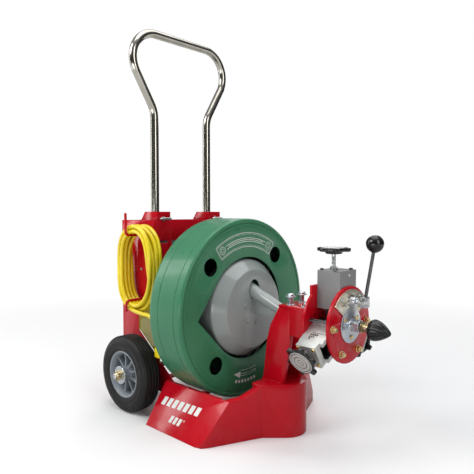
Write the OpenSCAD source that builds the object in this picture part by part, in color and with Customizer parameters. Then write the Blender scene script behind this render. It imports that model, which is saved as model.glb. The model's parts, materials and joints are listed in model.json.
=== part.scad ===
// Drum machine on two wheels for clearing drains, with a powered cable feeder.
// Cable exit +X, handle up +Z, floor at Z 0. Drawn from the wheel axle, then moved by place().

/* [Wheels] */
// Tyre diameter
tyre_d = 254; // [200:1:320]
// Tyre width
tyre_w = 70; // [50:1:90]
// Distance across the outer tyre faces
track_w = 542; // [500:1:600]
// Wheel rim diameter
rim_d = 156; // [120:1:180]
// Number of spokes
spoke_n = 9; // [5:1:12]

/* [Drum] */
// Drum diameter
drum_d = 580; // [480:1:640]
// Drum depth
drum_depth = 150; // [110:1:200]
// Height of the drum axis
axis_z = 358; // [340:1:380]
// Front face of the drum ahead of the axle
drum_x = 322; // [300:1:340]
// Radius of the mouth in the drum
mouth_r = 165; // [150:1:180]
// Radius to the point of the mouth
mouth_tip = 219; // [200:1:230]
// Diameter of the four round holes
hole_d = 55; // [40:1:60]
// Radius to the four round holes
hole_r = 217; // [205:1:225]
// How far the drum has stopped from square
drum_turn = 4; // [-45:1:45]

/* [Handle] */
// Handle tube diameter
handle_d = 28; // [25:1:32]
// Spacing of the two handle legs
handle_w = 246; // [200:1:300]
// Width at the grip
grip_w = 420; // [360:1:460]
// Height of the grip bar
grip_z = 1281; // [1100:1:1350]

/* [Feeder] */
// Diameter of the two red plates
plate_d = 214; // [190:1:230]
// Cable diameter
cable_d = 16; // [10:1:20]
// Length of the bulb head
bulb_l = 61; // [40:1:80]
// Diameter of the bulb head
bulb_d = 58; // [40:1:62]
// Skew of the feed rollers
roller_skew = 10; // [0:1:12]
// Star knob diameter
knob_d = 96; // [70:1:100]
// Radius to the middle of the top star knob
knob_r = 205; // [195:1:215]
// Radius to the middle of the two lower star knobs
knob_low_r = 166; // [160:1:180]

/* [Cord] */
// Cord diameter
cord_d = 14; // [8:1:16]

/* [Hidden] */
$fn = 96;
red = [0.78, 0.04, 0.06];
steel = [0.72, 0.73, 0.75];
silver = [0.80, 0.80, 0.79];
grey = [0.52, 0.53, 0.53];
black = [0.07, 0.07, 0.08];
green = [0.26, 0.49, 0.37];
gold = [0.80, 0.62, 0.22];
yellow = [0.93, 0.83, 0.08];
// middle of the whole machine ahead of the axle
mid_x = 332;
tyre_r = tyre_d / 2;
wheel_y = track_w / 2 - tyre_w / 2;
drum_r = drum_d / 2;
drum_back = drum_x - drum_depth;
leg_x = -5;
leg_y = handle_w / 2;
// side plates of the frame
side_y = 165;
sheet = 3;
feed_x = 657;
// back and front of the front plate
plate_x0 = 694;
plate_x1 = 702;
cable_r = cable_d / 2;
roller_r = 17;
roller_u = cable_r + roller_r + 0.5;
screw_r = 6;
// the screws stand behind the middle of their housings
top_dx = -8.5;
low_dx = -12;
// base skirt
base_x0 = 141;
skirt_y = 278;
skirt_lean = 82 / 122;
nose_x = 474;
nose_r = 68;
nose_z = 158;
motor_z = 500;
motor_r = 65;
big_pulley_r = 95;
small_pulley_r = 25;
belt_x = 152;
pin_z = 646;
hook_x = -16;
fit = 0.05;

module place() translate([-mid_x, 0, 0]) children();
// along X from x0 to x1 about the drum axis
module on_axis(x0) translate([x0, 0, axis_z]) rotate([0, 90, 0]) children();
module rod_x(x0, x1, r) on_axis(x0) cylinder(r = r, h = x1 - x0);
module box(x0, x1, y0, y1, z0, z1) translate([x0, y0, z0]) cube([x1 - x0, y1 - y0, z1 - z0]);
// an outline in X and Z, from y0 to y1
module side_profile(pts, y0, y1)
  translate([0, y1, 0]) rotate([90, 0, 0]) linear_extrude(height = y1 - y0) polygon(pts);
// an outline in Y and Z, from x0 to x1
module cross_profile(pts, x0, x1)
  translate([x0, 0, 0]) rotate([90, 0, 90]) linear_extrude(height = x1 - x0) polygon(pts);
// a feeder station: its own Z runs out from the cable
module station(turn) translate([feed_x, 0, axis_z]) rotate([turn, 0, 0]) children();
module both() { children(); mirror([0, 1, 0]) children(); }

// ---- base ----
module plan(o, w) {
  polygon([[base_x0 - w, -skirt_y + o], [370, -skirt_y + o], [391 - o / 2, -271 + o / 2],
    [402 - o, -255], [469 - o, -99], [469 - o, 99], [402 - o, 255], [391 - o / 2, 271 - o / 2],
    [370, skirt_y - o], [base_x0 - w, skirt_y - o]]);
}
module skirt_profile(x0, x1, drop) {
  translate([0, 0, -drop]) cross_profile([[-skirt_y, 0], [-196, 122], [-150, 127], [-110, 146],
    [-80, 158], [80, 158], [110, 146], [150, 127], [196, 122], [skirt_y, 0]], x0, x1);
}
module nose2d(o) {
  translate([nose_x, 0]) circle(r = nose_r - o);
  polygon([[430 + o, -99 + o], [469 - o / 3, -99 + o], [521 - o, -49], [521 - o, 49],
    [469 - o / 3, 99 - o], [430 + o, 99 - o]]);
}
module base_shell() color(red) place() {
  difference() {
    intersection() {
      linear_extrude(height = 200) plan(0, 0);
      skirt_profile(100, 480, 0);
    }
    intersection() {
      translate([0, 0, -1]) linear_extrude(height = 202) plan(sheet, 40);
      cross_profile([[-skirt_y + 3.6 - skirt_lean, -1], [-skirt_y + 3.6 + 200 * skirt_lean, 200],
        [skirt_y - 3.6 - 200 * skirt_lean, 200], [skirt_y - 3.6 + skirt_lean, -1]], 90, 480);
    }
    translate([0, 0, -1]) linear_extrude(height = 202) nose2d(sheet);
  }
  // turned-in lips along the top edges
  both() box(base_x0, 392, -197, -186, 119, 122);
  intersection() {
    difference() {
      skirt_profile(385, 480, 0);
      skirt_profile(384, 481, 3);
    }
    difference() {
      linear_extrude(height = 200) plan(1, 0);
      translate([0, 0, -1]) linear_extrude(height = 202) plan(24, 0);
    }
  }
  // rounded nose under the post
  difference() {
    linear_extrude(height = nose_z) nose2d(0);
    translate([0, 0, -1]) linear_extrude(height = nose_z - sheet + 1) nose2d(sheet);
  }
}
module base_rails() color(red) place() {
  both() {
    box(150, 426, -side_y, -side_y + sheet, 40, 104);
    // feet of the rails reach the skirt
    box(base_x0 + 14, base_x0 + 26, -239, -side_y, 40, 52);
    box(360, 372, -239, -side_y, 40, 52);
  }
  // ties under the drum
  box(base_x0 + 14, base_x0 + 26, -side_y + sheet, side_y - sheet, 40, 52);
  box(360, 372, -side_y + sheet, side_y - sheet, 40, 52);
  difference() {
    box(372, 427, -30, 30, 40, 46);
    translate([nose_x, 0, 30]) cylinder(r = nose_r, h = 30);
  }
}

// ---- post ----
module front_post() color(red) place() {
  both() {
    side_profile([[427, nose_z], [443, 283], [455, 327], [490, 388], [530, 388], [531, 290],
      [505, nose_z]], -46, -43);
    side_profile([[502, nose_z], [505, nose_z], [531, 290], [530, 388], [527, 388], [528, 290]],
      -43, -33);
  }
  side_profile([[427, nose_z], [430, nose_z], [446, 283], [452, 302], [449, 303], [443, 283]], -43, 43);
}
module post_bracket() color(red) place() {
  difference() {
    union() {
      box(490, 612, -50, 50, 388, 394);
      both() side_profile([[531.2, 310], [612, 300], [612, 388], [531.2, 388]], -50, -44);
      rod_x(540, 558, 30);
      box(540, 558, -44, 44, 330, 350);
      box(540, 558, -30, 30, 358, 388);
    }
    rod_x(530, 570, 17 + fit);
  }
  // clamp nuts on the top plate
  for (p = [[518, -28, 24], [518, 28, 24], [575, -30, 10], [575, 30, 10]]) translate([p[0], p[1], 394]) {
    cylinder(r = 13, h = 3);
    cylinder(r = 8.5, h = p[2], $fn = 6);
  }
}

// ---- rear frame ----
module upright() {
  difference() {
    side_profile([[-146, 60], [150, 60], [150, 104], [37, 189], [-48, 253], [-48, 350], [40, 350],
      [40, 640], [-146, 640]], -side_y, -side_y + sheet);
    // grommet hole for the cord
    translate([-110.5, -side_y - 1, 591.7]) rotate([-90, 0, 0]) cylinder(r = 12, h = 5);
  }
  // rear and front turned edges
  box(-146, -143, -side_y + sheet, -128, 60, 640);
  difference() {
    box(37, 40, -side_y + sheet, -86, 350, 640);
    box(36, 41, -136, -104, 562, 570);
  }
  // axle boss
  difference() {
    translate([0, -196.5, tyre_r]) rotate([-90, 0, 0]) cylinder(r = 20, h = 44);
    translate([0, -200, tyre_r]) rotate([-90, 0, 0]) cylinder(r = 10, h = 60);
  }
}
module upright_cut() {
  difference() {
    upright();
    translate([0, -200, tyre_r]) rotate([-90, 0, 0]) cylinder(r = 10, h = 60);
  }
}
module upright_right() color(red) place() upright_cut();
module upright_left() color(red) place() mirror([0, 1, 0]) upright_cut();
module cross_plates() color(red) place() {
  box(37, 40, -86, 86, 575, 642);
  difference() {
    box(-146, -143, -128, 128, 545, 640);
    translate([-140, 25, 612]) rotate([0, -90, 0]) cylinder(r = 13 + fit, h = 10);
  }
  box(-54, -48, -side_y + sheet, side_y - sheet, 290, 430);
  box(-143, 30, -side_y + sheet, -side_y + 16, 60, 66);
  box(-143, 30, side_y - 16, side_y - sheet, 60, 66);
  box(-40, -10, -side_y + 16, side_y - 16, 60, 66);
}
module handle_sockets() color(red) place() {
  both() difference() {
    union() {
      box(-50, 37, -150, -96, 600, 641);
      side_profile([[-50, 641], [40, 641], [40, 670], [-28, 670]], -150, -92);
    }
    translate([leg_x, -leg_y, 590]) cylinder(r = handle_d / 2 + fit, h = 100);
    translate([6, -leg_y, pin_z]) rotate([0, 90, 0]) cylinder(r = 5 + fit, h = 40);
  }
}
module cord_hooks() color(red) place() {
  // upper hook turned up, lower hook turned down
  for (z = [591, 368]) {
    translate([hook_x, -side_y, z]) rotate([90, 0, 0]) cylinder(r = 4.5, h = 74);
    translate([hook_x, -side_y - 74, z]) sphere(r = 4.5);
  }
  translate([hook_x, -side_y - 74, 591]) cylinder(r = 4.5, h = 75);
  translate([hook_x, -side_y - 74, 334]) cylinder(r = 4.5, h = 34);
}
module mesh_one() {
  intersection() {
    side_profile([[-48, 258], [60, 177], [60, 349], [-48, 349]], -164, -160);
    union() {
      for (i = [0 : 16]) {
        translate([6, -163.4, 20 + i * 26]) rotate([0, 50, 0]) cube([180, 1.4, 2.4], center = true);
        translate([6, -161.4, 20 + i * 26]) rotate([0, -50, 0]) cube([180, 1.4, 2.4], center = true);
      }
      box(-48, -45, -164, -160, 250, 349);
      box(57, 60, -164, -160, 170, 349);
      box(-48, 60, -164, -160, 346, 349);
      translate([6, -162, 217.5]) rotate([0, 36.9, 0]) cube([150, 4, 6], center = true);
    }
  }
}
module mesh_guards() color([0.70, 0.62, 0.10]) place() both() mesh_one();

// ---- wheels ----
module axle() color(steel) place()
  translate([0, -300, tyre_r]) rotate([-90, 0, 0]) cylinder(r = 10, h = 600);
module axle_nuts() color(gold) place() both() difference() {
  union() {
    translate([0, -297, tyre_r]) rotate([-90, 0, 0]) cylinder(r = 16.5, h = 19, $fn = 6);
    translate([0, -278.2, tyre_r]) rotate([-90, 0, 0]) cylinder(r = 30, h = 3);
  }
  translate([0, -301, tyre_r]) rotate([-90, 0, 0]) cylinder(r = 10, h = 40);
}
module tyre() {
  h = tyre_w / 2;
  r = tyre_r;
  q = rim_d / 2;
  translate([0, -wheel_y, r]) rotate([90, 0, 0]) rotate_extrude()
    polygon([[q, -h + 6], [q + 8, -h + 1], [r - 20, -h], [r - 7, -h + 3], [r - 1, -h + 10],
      [r, -22], [r, -20], [r - 4, -19], [r - 4, -16], [r, -15], [r, -8], [r - 4, -7], [r - 4, -4],
      [r, -3], [r, 3], [r - 4, 4], [r - 4, 7], [r, 8], [r, 15], [r - 4, 16], [r - 4, 19], [r, 20],
      [r, 22], [r - 1, h - 10], [r - 7, h - 3], [r - 20, h], [q + 8, h - 1], [q, h - 6]]);
}
module hub() {
  q = rim_d / 2;
  translate([0, -wheel_y, tyre_r]) rotate([90, 0, 0]) difference() {
    union() {
      rotate_extrude() polygon([[q - 8, -29], [q, -29], [q, 29], [q - 8, 29], [q - 13, 20],
        [q - 13, -20]]);
      cylinder(r = 21, h = 78, center = true);
      for (i = [0 : spoke_n - 1]) rotate([0, 0, i * 360 / spoke_n])
        translate([17, -4, -9.5]) cube([q - 29, 8, 25.5]);
      translate([0, 0, -12]) cylinder(r = q - 10, h = 4);
    }
    cylinder(r = 10 + fit, h = 90, center = true);
  }
}
module tyre_right() color([0.10, 0.10, 0.11]) place() tyre();
module tyre_left() color([0.10, 0.10, 0.11]) place() mirror([0, 1, 0]) tyre();
module hub_right() color([0.50, 0.54, 0.58]) place() hub();
module hub_left() color([0.50, 0.54, 0.58]) place() mirror([0, 1, 0]) hub();

// ---- motor and drive ----
module motor_body() color([0.20, 0.21, 0.22]) place() {
  translate([-128, 0, motor_z]) rotate([0, 90, 0]) {
    translate([0, 0, 24]) cylinder(r = motor_r, h = 150);
    cylinder(r = motor_r - 6, h = 24);
    translate([0, 0, 174]) cylinder(r = motor_r - 6, h = 24);
    translate([0, 0, 198]) cylinder(r = 26, h = 12);
    cylinder(r = 8, h = 293);
  }
  // capacitor and feet
  box(-70, 30, -100, -58, 470, 510);
  both() box(-60, 20, -64, -40, 434, 470);
}
module motor_mount() color(red) place() difference() {
  box(-140, 36, -side_y + sheet, side_y - sheet, 430, 434);
  both() translate([leg_x, -leg_y, 420]) cylinder(r = handle_d / 2 + fit, h = 20);
}
module vee(r, w) {
  rotate_extrude() polygon([[8, -w / 2], [r + 3, -w / 2], [r + 3, -w / 2 + 2], [r - 7, -4], [r - 7, 4],
    [r + 3, w / 2 - 2], [r + 3, w / 2], [8, w / 2]]);
}
module motor_pulley() color([0.35, 0.36, 0.38]) place()
  translate([belt_x, 0, motor_z]) rotate([0, 90, 0]) difference() {
    vee(small_pulley_r, 22);
    cylinder(r = 8 + fit, h = 60, center = true);
  }
// closed belt on its two pulleys, drawn in its own plane
function ring(c, r, a0, a1, n) =
  [for (i = [0 : n]) let (a = a0 + (a1 - a0) * i / n) [r * cos(a), c + r * sin(a)]];
module belt2d(a, b) {
  c = motor_z - axis_z;
  s = asin((a - b) / c);
  polygon(concat(ring(0, a, 180 - s, 360 + s, 60), ring(c, b, s, 180 - s, 24)));
}
module drive_belt() color(black) place() translate([belt_x - 3.5, 0, axis_z]) rotate([90, 0, 90])
  linear_extrude(height = 7) difference() {
    belt2d(big_pulley_r + 3, small_pulley_r + 3);
    belt2d(big_pulley_r - 6.5, small_pulley_r - 6.5);
  }
module switch_box() color([0.28, 0.29, 0.30]) place() {
  box(-143, -85, -55, 55, 578, 634);
  translate([-143, 25, 612]) rotate([0, -90, 0]) difference() {
    cylinder(r = 13, h = 5);
    translate([0, 0, -1]) cylinder(r = 9, h = 7);
  }
  // cord gland
  translate([-115, -55, 606]) rotate([90, 0, 0]) difference() {
    cylinder(r = 13, h = 12);
    translate([0, 0, 2]) cylinder(r = 7.2, h = 30);
  }
}
module switch_lever() color(silver) place() translate([-144, 25, 612]) rotate([0, -90, 0]) {
  cylinder(r = 8, h = 8);
  translate([-6, -4, 8]) cube([26, 8, 8]);
}
module bearing_block() color([0.30, 0.31, 0.33]) place() difference() {
  union() {
    rod_x(-48, 125, 42);
    rod_x(-48, -36, 60);
    for (a = [45 : 90 : 315]) translate([0, 52 * cos(a), 52 * sin(a)]) rod_x(-36, -30, 6);
  }
  rod_x(-50, 130, 15 + fit);
}

// ---- drum ----
module mouth2d() {
  s = acos(mouth_r / mouth_tip);
  circle(r = mouth_r);
  polygon([[mouth_tip, 0], [mouth_r * cos(s), mouth_r * sin(s)], [0, 0],
    [mouth_r * cos(s), -mouth_r * sin(s)]]);
}
module drum_shell() color(green) place() on_axis(drum_back) rotate([0, 0, drum_turn]) difference() {
  r = drum_r;
  t = drum_depth;
  rotate_extrude($fn = 180) polygon([[40, 0], [r - 16, 0], [r - 8, 2], [r - 2, 8], [r, 16],
    [r, 44], [r - 2, 46], [r - 2, 50], [r, 52], [r, t - 20], [r - 3, t - 10], [r - 9, t - 3], [r - 18, t],
    [r - 26, t], [r - 28, t - 2], [150, t - 2], [150, t - 5], [r - 22, t - 5], [r - 10, t - 14],
    [r - 5, t - 24], [r - 5, 18], [r - 12, 5], [40, 5]]);
  translate([0, 0, t - 20]) rotate([0, 0, -90]) linear_extrude(height = 40) mouth2d();
  for (a = [45 : 90 : 315]) rotate([0, 0, a]) translate([hole_r, 0, t - 20]) cylinder(d = hole_d, h = 40);
}
module drum_pulley() color([0.30, 0.31, 0.33]) place() {
  translate([belt_x, 0, axis_z]) rotate([0, 90, 0]) vee(big_pulley_r, 22);
  rod_x(belt_x, 179, 40);
  rod_x(-46, 300, 15);
}
// the wound cable as one ring, stepped like its turns
module cable_pack() color([0.38, 0.38, 0.38]) place() on_axis(0)
  rotate_extrude($fn = 120) polygon([[220, 200], [232, 194], [240, 191], [252, 184], [257, 182], [267, 182],
    [270, 186], [270, 262], [267, 266], [257, 266], [252, 264], [240, 257], [232, 254], [220, 248]]);
module dome() color(grey) place() difference() {
  union() {
    on_axis(0) rotate_extrude($fn = 144) polygon([[155, 256], [158, 256], [158, 309], [154, 317.5],
      [128, 348.6],
      [124, 351], [32, 351], [32, 348], [123, 348], [125.6, 346.4], [151.4, 315.6], [155, 308]]);
    rod_x(262, 351, 32);
    for (a = [30, 150, 270]) on_axis(262) rotate([0, 0, a]) translate([30, -3, 0]) cube([126, 6, 44]);
  }
  rod_x(255, 310, 15 + fit);
  tube_line() translate([0, 0, -60]) cylinder(r = 23.5, h = 130);
}
module tube_line() translate([318, 0, axis_z + 68]) rotate([0, 112.1, 0]) children();
module guide_tube() color([0.62, 0.63, 0.63]) place() difference() {
  union() {
    tube_line() cylinder(r1 = 23.4, r2 = 17, h = 171);
    rod_x(470, 560, 17);
    side_profile([[351, axis_z + 60], [351, axis_z - 12], [470, axis_z - 14], [480, axis_z]], -3, 3);
  }
  tube_line() translate([0, 0, -1]) cylinder(r1 = 17, r2 = 10, h = 175);
  rod_x(472, 561, 10);
}
module tube_bolts() color(steel) place() {
  for (p = [[-45, 16], [10, -48], [45, 16], [-34, -34]]) translate([351, p[0], axis_z + p[1]])
    rotate([0, 90, 0]) { cylinder(r = 9, h = 1.6); cylinder(r = 6.5, h = 6, $fn = 6); }
}
module cable() color([0.45, 0.45, 0.44]) place() difference() {
  rod_x(482, 745, cable_r);
  droop() rod_x(740, 760, 20);
}
// the cable end hangs a little under its own weight
module droop() translate([738, 0, axis_z]) rotate([0, 5, 0]) translate([-738, 0, -axis_z]) children();
module coupler() color([0.50, 0.46, 0.30]) place() droop() difference() {
  on_axis(740) union() {
    cylinder(r = 12, h = 28);
    cylinder(r = 16, h = 4);
  }
  box(746, 762, -3, 3, axis_z + 7, axis_z + 20);
  box(746, 762, -3, 3, axis_z - 20, axis_z - 7);
}
module bulb_head() color([0.12, 0.12, 0.13]) place() droop() on_axis(824 - bulb_l) difference() {
  r = bulb_d / 2;
  l = bulb_l;
  rotate_extrude() polygon([[12.1, 0], [r - 6, 2], [r - 2, 6], [r, 13], [r - 1, 20], [r - 4, 28], [r - 9, 37],
    [r - 15, 46], [r - 21, 54], [r - 25, 59], [3, l], [0, l], [0, 5], [12.1, 5]]);
  for (a = [0 : 60 : 300]) rotate([0, 0, a]) translate([r - 4, -2, 16]) rotate([0, -26, 0]) cube([20, 4, 60]);
}

// ---- feeder ----
module rear_plate() color(red) place() difference() {
  union() {
    rod_x(612, 620, plate_d / 2 - 5);
    box(612, 620, -64, 64, axis_z, axis_z + plate_d / 2 + 1);
  }
  rod_x(600, 630, 26);
}
// the four clamp studs of the front plate
stud_turns = [-180, -120, -60, 0];
module stud(a) translate([0, 86 * cos(a), axis_z + 86 * sin(a)]) rotate([0, 90, 0]) children();
module front_plate() color(red) place() difference() {
  on_axis(plate_x0) rotate_extrude($fn = 144) polygon([[19, 0], [plate_d / 2, 0], [plate_d / 2, 6],
    [plate_d / 2 - 2, 8], [19, 8]]);
  for (a = stud_turns) stud(a) translate([0, 0, plate_x0 - 10]) cylinder(r = 6.2, h = 40);
}
module plate_studs() color(gold) place() {
  for (a = stud_turns) stud(a) {
    translate([0, 0, plate_x0]) cylinder(r = 6, h = 22);
    translate([0, 0, plate_x1]) cylinder(r = 11, h = 1.6);
    translate([0, 0, plate_x1]) cylinder(r = 9, h = 8, $fn = 6);
  }
  // thin tie rods between the two plates
  for (a = [0 : 120 : 240]) on_axis(620) rotate([0, 0, a + 258]) {
    translate([71, 0, 0]) cylinder(r = 2.5, h = plate_x0 - 620);
    translate([79, 4, 0]) cylinder(r = 2.5, h = plate_x0 - 620);
  }
}
module nozzle() color(silver) place() difference() {
  on_axis(plate_x1) union() {
    cylinder(r = 50, h = 5);
    cylinder(r = 16.5, h = 35.5);
    translate([0, 0, 31]) cylinder(r = 17.5, h = 4.5);
    for (a = [0 : 120 : 240]) rotate([0, 0, a]) translate([34, 0, 5]) cylinder(r = 6, h = 3.5, $fn = 6);
  }
  rod_x(690, 745, 10);
}
module screw_hole(dx) translate([dx, 0, 0]) cylinder(r = screw_r + fit, h = 300);
module housing_top() color(grey) place() station(0) difference() {
  translate([-37, -39, 42]) cube([74, 83, 107]);
  translate([-28, -28, 41]) cube([56, 56, 87]);
  screw_hole(top_dx);
}
// two side slabs, a back wall and a thick end plate
module housings_low() color(silver) place() for (s = [1, -1]) station(s * 120) difference() {
  union() {
    for (y = [-33, 21]) translate([-37, y, 45]) cube([74, 12, 78]);
    translate([-37, -21, 45]) cube([8, 42, 78]);
    translate([-35, s > 0 ? -36 : -33, 123]) cube([61.5, 69, 20]);
  }
  screw_hole(low_dx);
}
module collar(u, h) difference() {
  translate([0, 0, u]) cylinder(r = 10.5, h = h);
  cylinder(r = screw_r + fit, h = 300);
}
module housing_caps() color(steel) place() {
  station(0) {
    for (x = [-28, 28]) translate([x, x > 0 ? 31 : -30, 149]) cylinder(r = 5.5, h = 5);
    translate([top_dx, 0, 0]) collar(149, 9);
  }
  for (s = [1, -1]) station(s * 120) {
    for (x = [-28, 19.5], y = [-26, 26]) translate([x, y, 143]) cylinder(r = 5, h = 6);
    translate([low_dx, 0, 0]) collar(143, 6);
  }
}
// a star knob whose middle is at u
module knob(u) translate([0, 0, u]) difference() {
  union() {
    translate([0, 0, -5]) cylinder(r = 38, h = 11);
    for (i = [0 : 5]) rotate([0, 0, i * 60 + 15]) intersection() {
      translate([20, -8, -4]) cube([40, 16, 9.6]);
      translate([0, 0, -10]) cylinder(r = knob_d / 2, h = 20);
    }
    translate([0, 0, -13]) cylinder(r1 = 12, r2 = 24, h = 8);
  }
  translate([0, 0, -30]) cylinder(r = screw_r, h = 60);
  translate([0, 0, 5]) cylinder(r = 34, h = 20);
}
module screw(u) {
  translate([0, 0, 82]) cylinder(r = screw_r, h = u - 76);
  translate([0, 0, u + 5]) cylinder(r = 34, h = 2);
}
module carrier(w, dx) difference() {
  union() {
    translate([-27.8, -w, 62]) cube([55.6, 2 * w, 30]);
    for (s = [-1, 1]) translate([s * 24 - 3.5, -12, 16]) cube([7, 24, 50]);
  }
  translate([dx, 0, 76]) cylinder(r = screw_r + fit, h = 40);
  translate([0, 0, roller_u]) rotate([0, 90, roller_skew]) cylinder(r = 5 + fit, h = 90, center = true);
}
module roller() translate([0, 0, roller_u]) rotate([0, 90, roller_skew]) {
  cylinder(r = roller_r, h = 34, center = true);
  cylinder(r = 5, h = 55, center = true);
}
module knob_top() color(black) place() station(0) translate([top_dx, 0, 0]) knob(knob_r);
module screw_top() color(steel) place() station(0) translate([top_dx, 0, 0]) screw(knob_r);
module carrier_top() color([0.25, 0.26, 0.27]) place() station(0) carrier(27.8, top_dx);
module roller_top() color([0.16, 0.16, 0.17]) place() station(0) roller();
module knob_right() color(black) place() station(120) translate([low_dx, 0, 0]) knob(knob_low_r);
module screw_right() color(steel) place() station(120) translate([low_dx, 0, 0]) screw(knob_low_r);
module carrier_right() color([0.25, 0.26, 0.27]) place() station(120) carrier(20.8, low_dx);
module roller_right() color([0.16, 0.16, 0.17]) place() station(120) roller();
module knob_left() color(black) place() station(-120) translate([low_dx, 0, 0]) knob(knob_low_r);
module screw_left() color(steel) place() station(-120) translate([low_dx, 0, 0]) screw(knob_low_r);
module carrier_left() color([0.25, 0.26, 0.27]) place() station(-120) carrier(20.8, low_dx);
module roller_left() color([0.16, 0.16, 0.17]) place() station(-120) roller();

// ---- feed lever ----
module lean() translate([714, 57.5, 409.8]) rotate([-11, 4.1, 0]) children();
// a curved plate that turns round the nozzle flange, with a boss and a clamp block
module lever_yoke() color(gold) place() difference() {
  union() {
    translate([plate_x1 + 0.2, 0, axis_z]) rotate([90, 0, 90]) linear_extrude(height = 4) difference() {
      polygon(concat(ring(0, 99, 38, 143, 30), ring(0, 50.2, 143, 38, 30)));
      for (a = [60, 122]) translate([88 * cos(a), 88 * sin(a)]) circle(r = 3);
    }
    translate([plate_x1 + 4.2, 1, axis_z + 66]) rotate([0, 90, 0]) {
      cylinder(r = 15, h = 2);
      cylinder(r = 13, h = 14);
    }
    box(plate_x1 + 4.2, 724, 45, 68, axis_z + 42, axis_z + 72);
  }
  lean() cylinder(r = 5, h = 200);
}
module lever_rod() color([0.35, 0.36, 0.37]) place()
  lean() cylinder(r = 5, h = 156);
module lever_ball() color(black) place() difference() {
  lean() translate([0, 0, 172]) sphere(r = 25.5);
  lean() cylinder(r = 5, h = 156);
}

// ---- handle ----
grip_y = grip_w / 2;
bend_r = 92;
flare = 31;
low_r = 90;
arc_z = grip_z - bend_r;
arc_y = grip_y - bend_r;
tan_y = arc_y + bend_r * cos(flare);
tan_z = arc_z - bend_r * sin(flare);
low_y = leg_y + low_r * (1 - cos(flare));
run = (tan_y - low_y) / sin(flare);
low_z = tan_z - run * cos(flare) - low_r * sin(flare);
handle_z0 = 440;
half = concat([[leg_x, leg_y, handle_z0]],
  [for (i = [0 : 5]) let (a = flare * i / 5)
    [leg_x, leg_y + low_r * (1 - cos(a)), low_z + low_r * sin(a)]],
  [for (i = [0 : 16]) let (a = -flare + (90 + flare) * i / 16)
    [leg_x, arc_y + bend_r * cos(a), arc_z + bend_r * sin(a)]]);
bent = concat(half, [for (i = [len(half) - 1 : -1 : 0]) [half[i][0], -half[i][1], half[i][2]]]);
function unit(v) = v / norm(v);
function dir(p, i) = unit(p[min(i + 1, len(p) - 1)] - p[max(i - 1, 0)]);
function side(p, i, f) = unit(cross(dir(p, i), f));
// a round tube along the points p, with f a direction the tube never runs along
module swept(p, r, n, f) {
  m = len(p);
  polyhedron(points = [for (i = [0 : m - 1], k = [0 : n - 1])
      p[i] + r * (cos(360 * k / n) * side(p, i, f)
        + sin(360 * k / n) * cross(side(p, i, f), dir(p, i)))],
    faces = concat([[for (k = [0 : n - 1]) n - 1 - k]], [[for (k = [0 : n - 1]) (m - 1) * n + k]],
      [for (i = [0 : m - 2], k = [0 : n - 1])
        [i * n + k, i * n + (k + 1) % n, (i + 1) * n + (k + 1) % n, (i + 1) * n + k]]));
}
// the same path, a little longer at both ends, for the hollow in the tube
bore = concat([bent[0] - [0, 0, 1]], [for (i = [1 : len(bent) - 2]) bent[i]],
  [bent[len(bent) - 1] - [0, 0, 1]]);
module handle() color([0.85, 0.86, 0.87]) place() difference() {
  swept(bent, handle_d / 2, 24, [1, 0, 0]);
  swept(bore, handle_d / 2 - 2, 12, [1, 0, 0]);
}
module pin() {
  translate([leg_x + handle_d / 2 + 0.3, -leg_y, pin_z]) rotate([0, 90, 0]) cylinder(r = 5, h = 46);
  translate([55, -leg_y - 24, pin_z]) rotate([-90, 0, 0]) cylinder(r = 4, h = 48);
}
module latch_pin_right() color(steel) place() pin();
module latch_pin_left() color(steel) place() mirror([0, 1, 0]) pin();

// ---- cord ----
coil_y0 = -232;
coil_y1 = -176;
route = [[-115, -65, 606], [-115, -90, 606], [-114.5, -112, 606], [-114, -128, 605.5],
  [-113, -148.4, 601.7], [-110, -166.6, 589.6], [-106, -178.7, 571.4], [-101, -183, 550],
  [-95, -184, 525], [-91.6, -184, 500], [-91.4, -184, 480]];
tail = [for (a = [0, 15, 30, 45, 60, 75, 86, 90])
  [74 + 56 * sin(a), -225 + 18 * pow(1 - cos(a), 0.9), 276 + 56 * cos(a)]];
module cord_tube() color(yellow) place() {
  swept(route, cord_d / 2, 10, [1, 0, 0.1]);
  swept(tail, cord_d / 2, 10, [0.1, 1, 0]);
}
module stadium(w, h) {
  for (s = [-1, 1]) translate([0, s * (h - w) / 2]) circle(d = w);
  square([w, h - w], center = true);
}
module cord_coil() color(yellow) place() translate([10, coil_y1, 479.5]) rotate([90, 0, 0])
  linear_extrude(height = coil_y1 - coil_y0) difference() {
    stadium(188, 309);
    stadium(128, 249);
  }
module cord_plug() color(yellow) place() {
  translate([130, -207, 0]) {
    translate([0, 0, 230]) cylinder(r1 = 17, r2 = 10, h = 43.2);
    box(-14, 14, -18, 18, 198, 230);
    for (s = [-1, 1]) box(-3, 3, s * 6.4, 1.6 + s * 6.4, 178, 198);
  }
}

base_shell();
base_rails();
front_post();
post_bracket();
upright_right();
upright_left();
cross_plates();
handle_sockets();
cord_hooks();
mesh_guards();
axle();
axle_nuts();
tyre_right();
hub_right();
tyre_left();
hub_left();
motor_body();
motor_mount();
motor_pulley();
drive_belt();
switch_box();
switch_lever();
bearing_block();
drum_shell();
drum_pulley();
cable_pack();
dome();
guide_tube();
tube_bolts();
cable();
coupler();
bulb_head();
rear_plate();
front_plate();
plate_studs();
nozzle();
housing_top();
housings_low();
housing_caps();
knob_top();
screw_top();
carrier_top();
roller_top();
knob_right();
screw_right();
carrier_right();
roller_right();
knob_left();
screw_left();
carrier_left();
roller_left();
lever_yoke();
lever_rod();
lever_ball();
handle();
latch_pin_right();
latch_pin_left();
cord_tube();
cord_coil();
cord_plug();
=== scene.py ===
import json
from math import acos, copysign, cos, degrees, exp, pi, radians, sin, sqrt, tau
import bmesh
import bpy
from mathutils import Matrix, Vector
from mathutils.geometry import delaunay_2d_cdt


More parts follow.
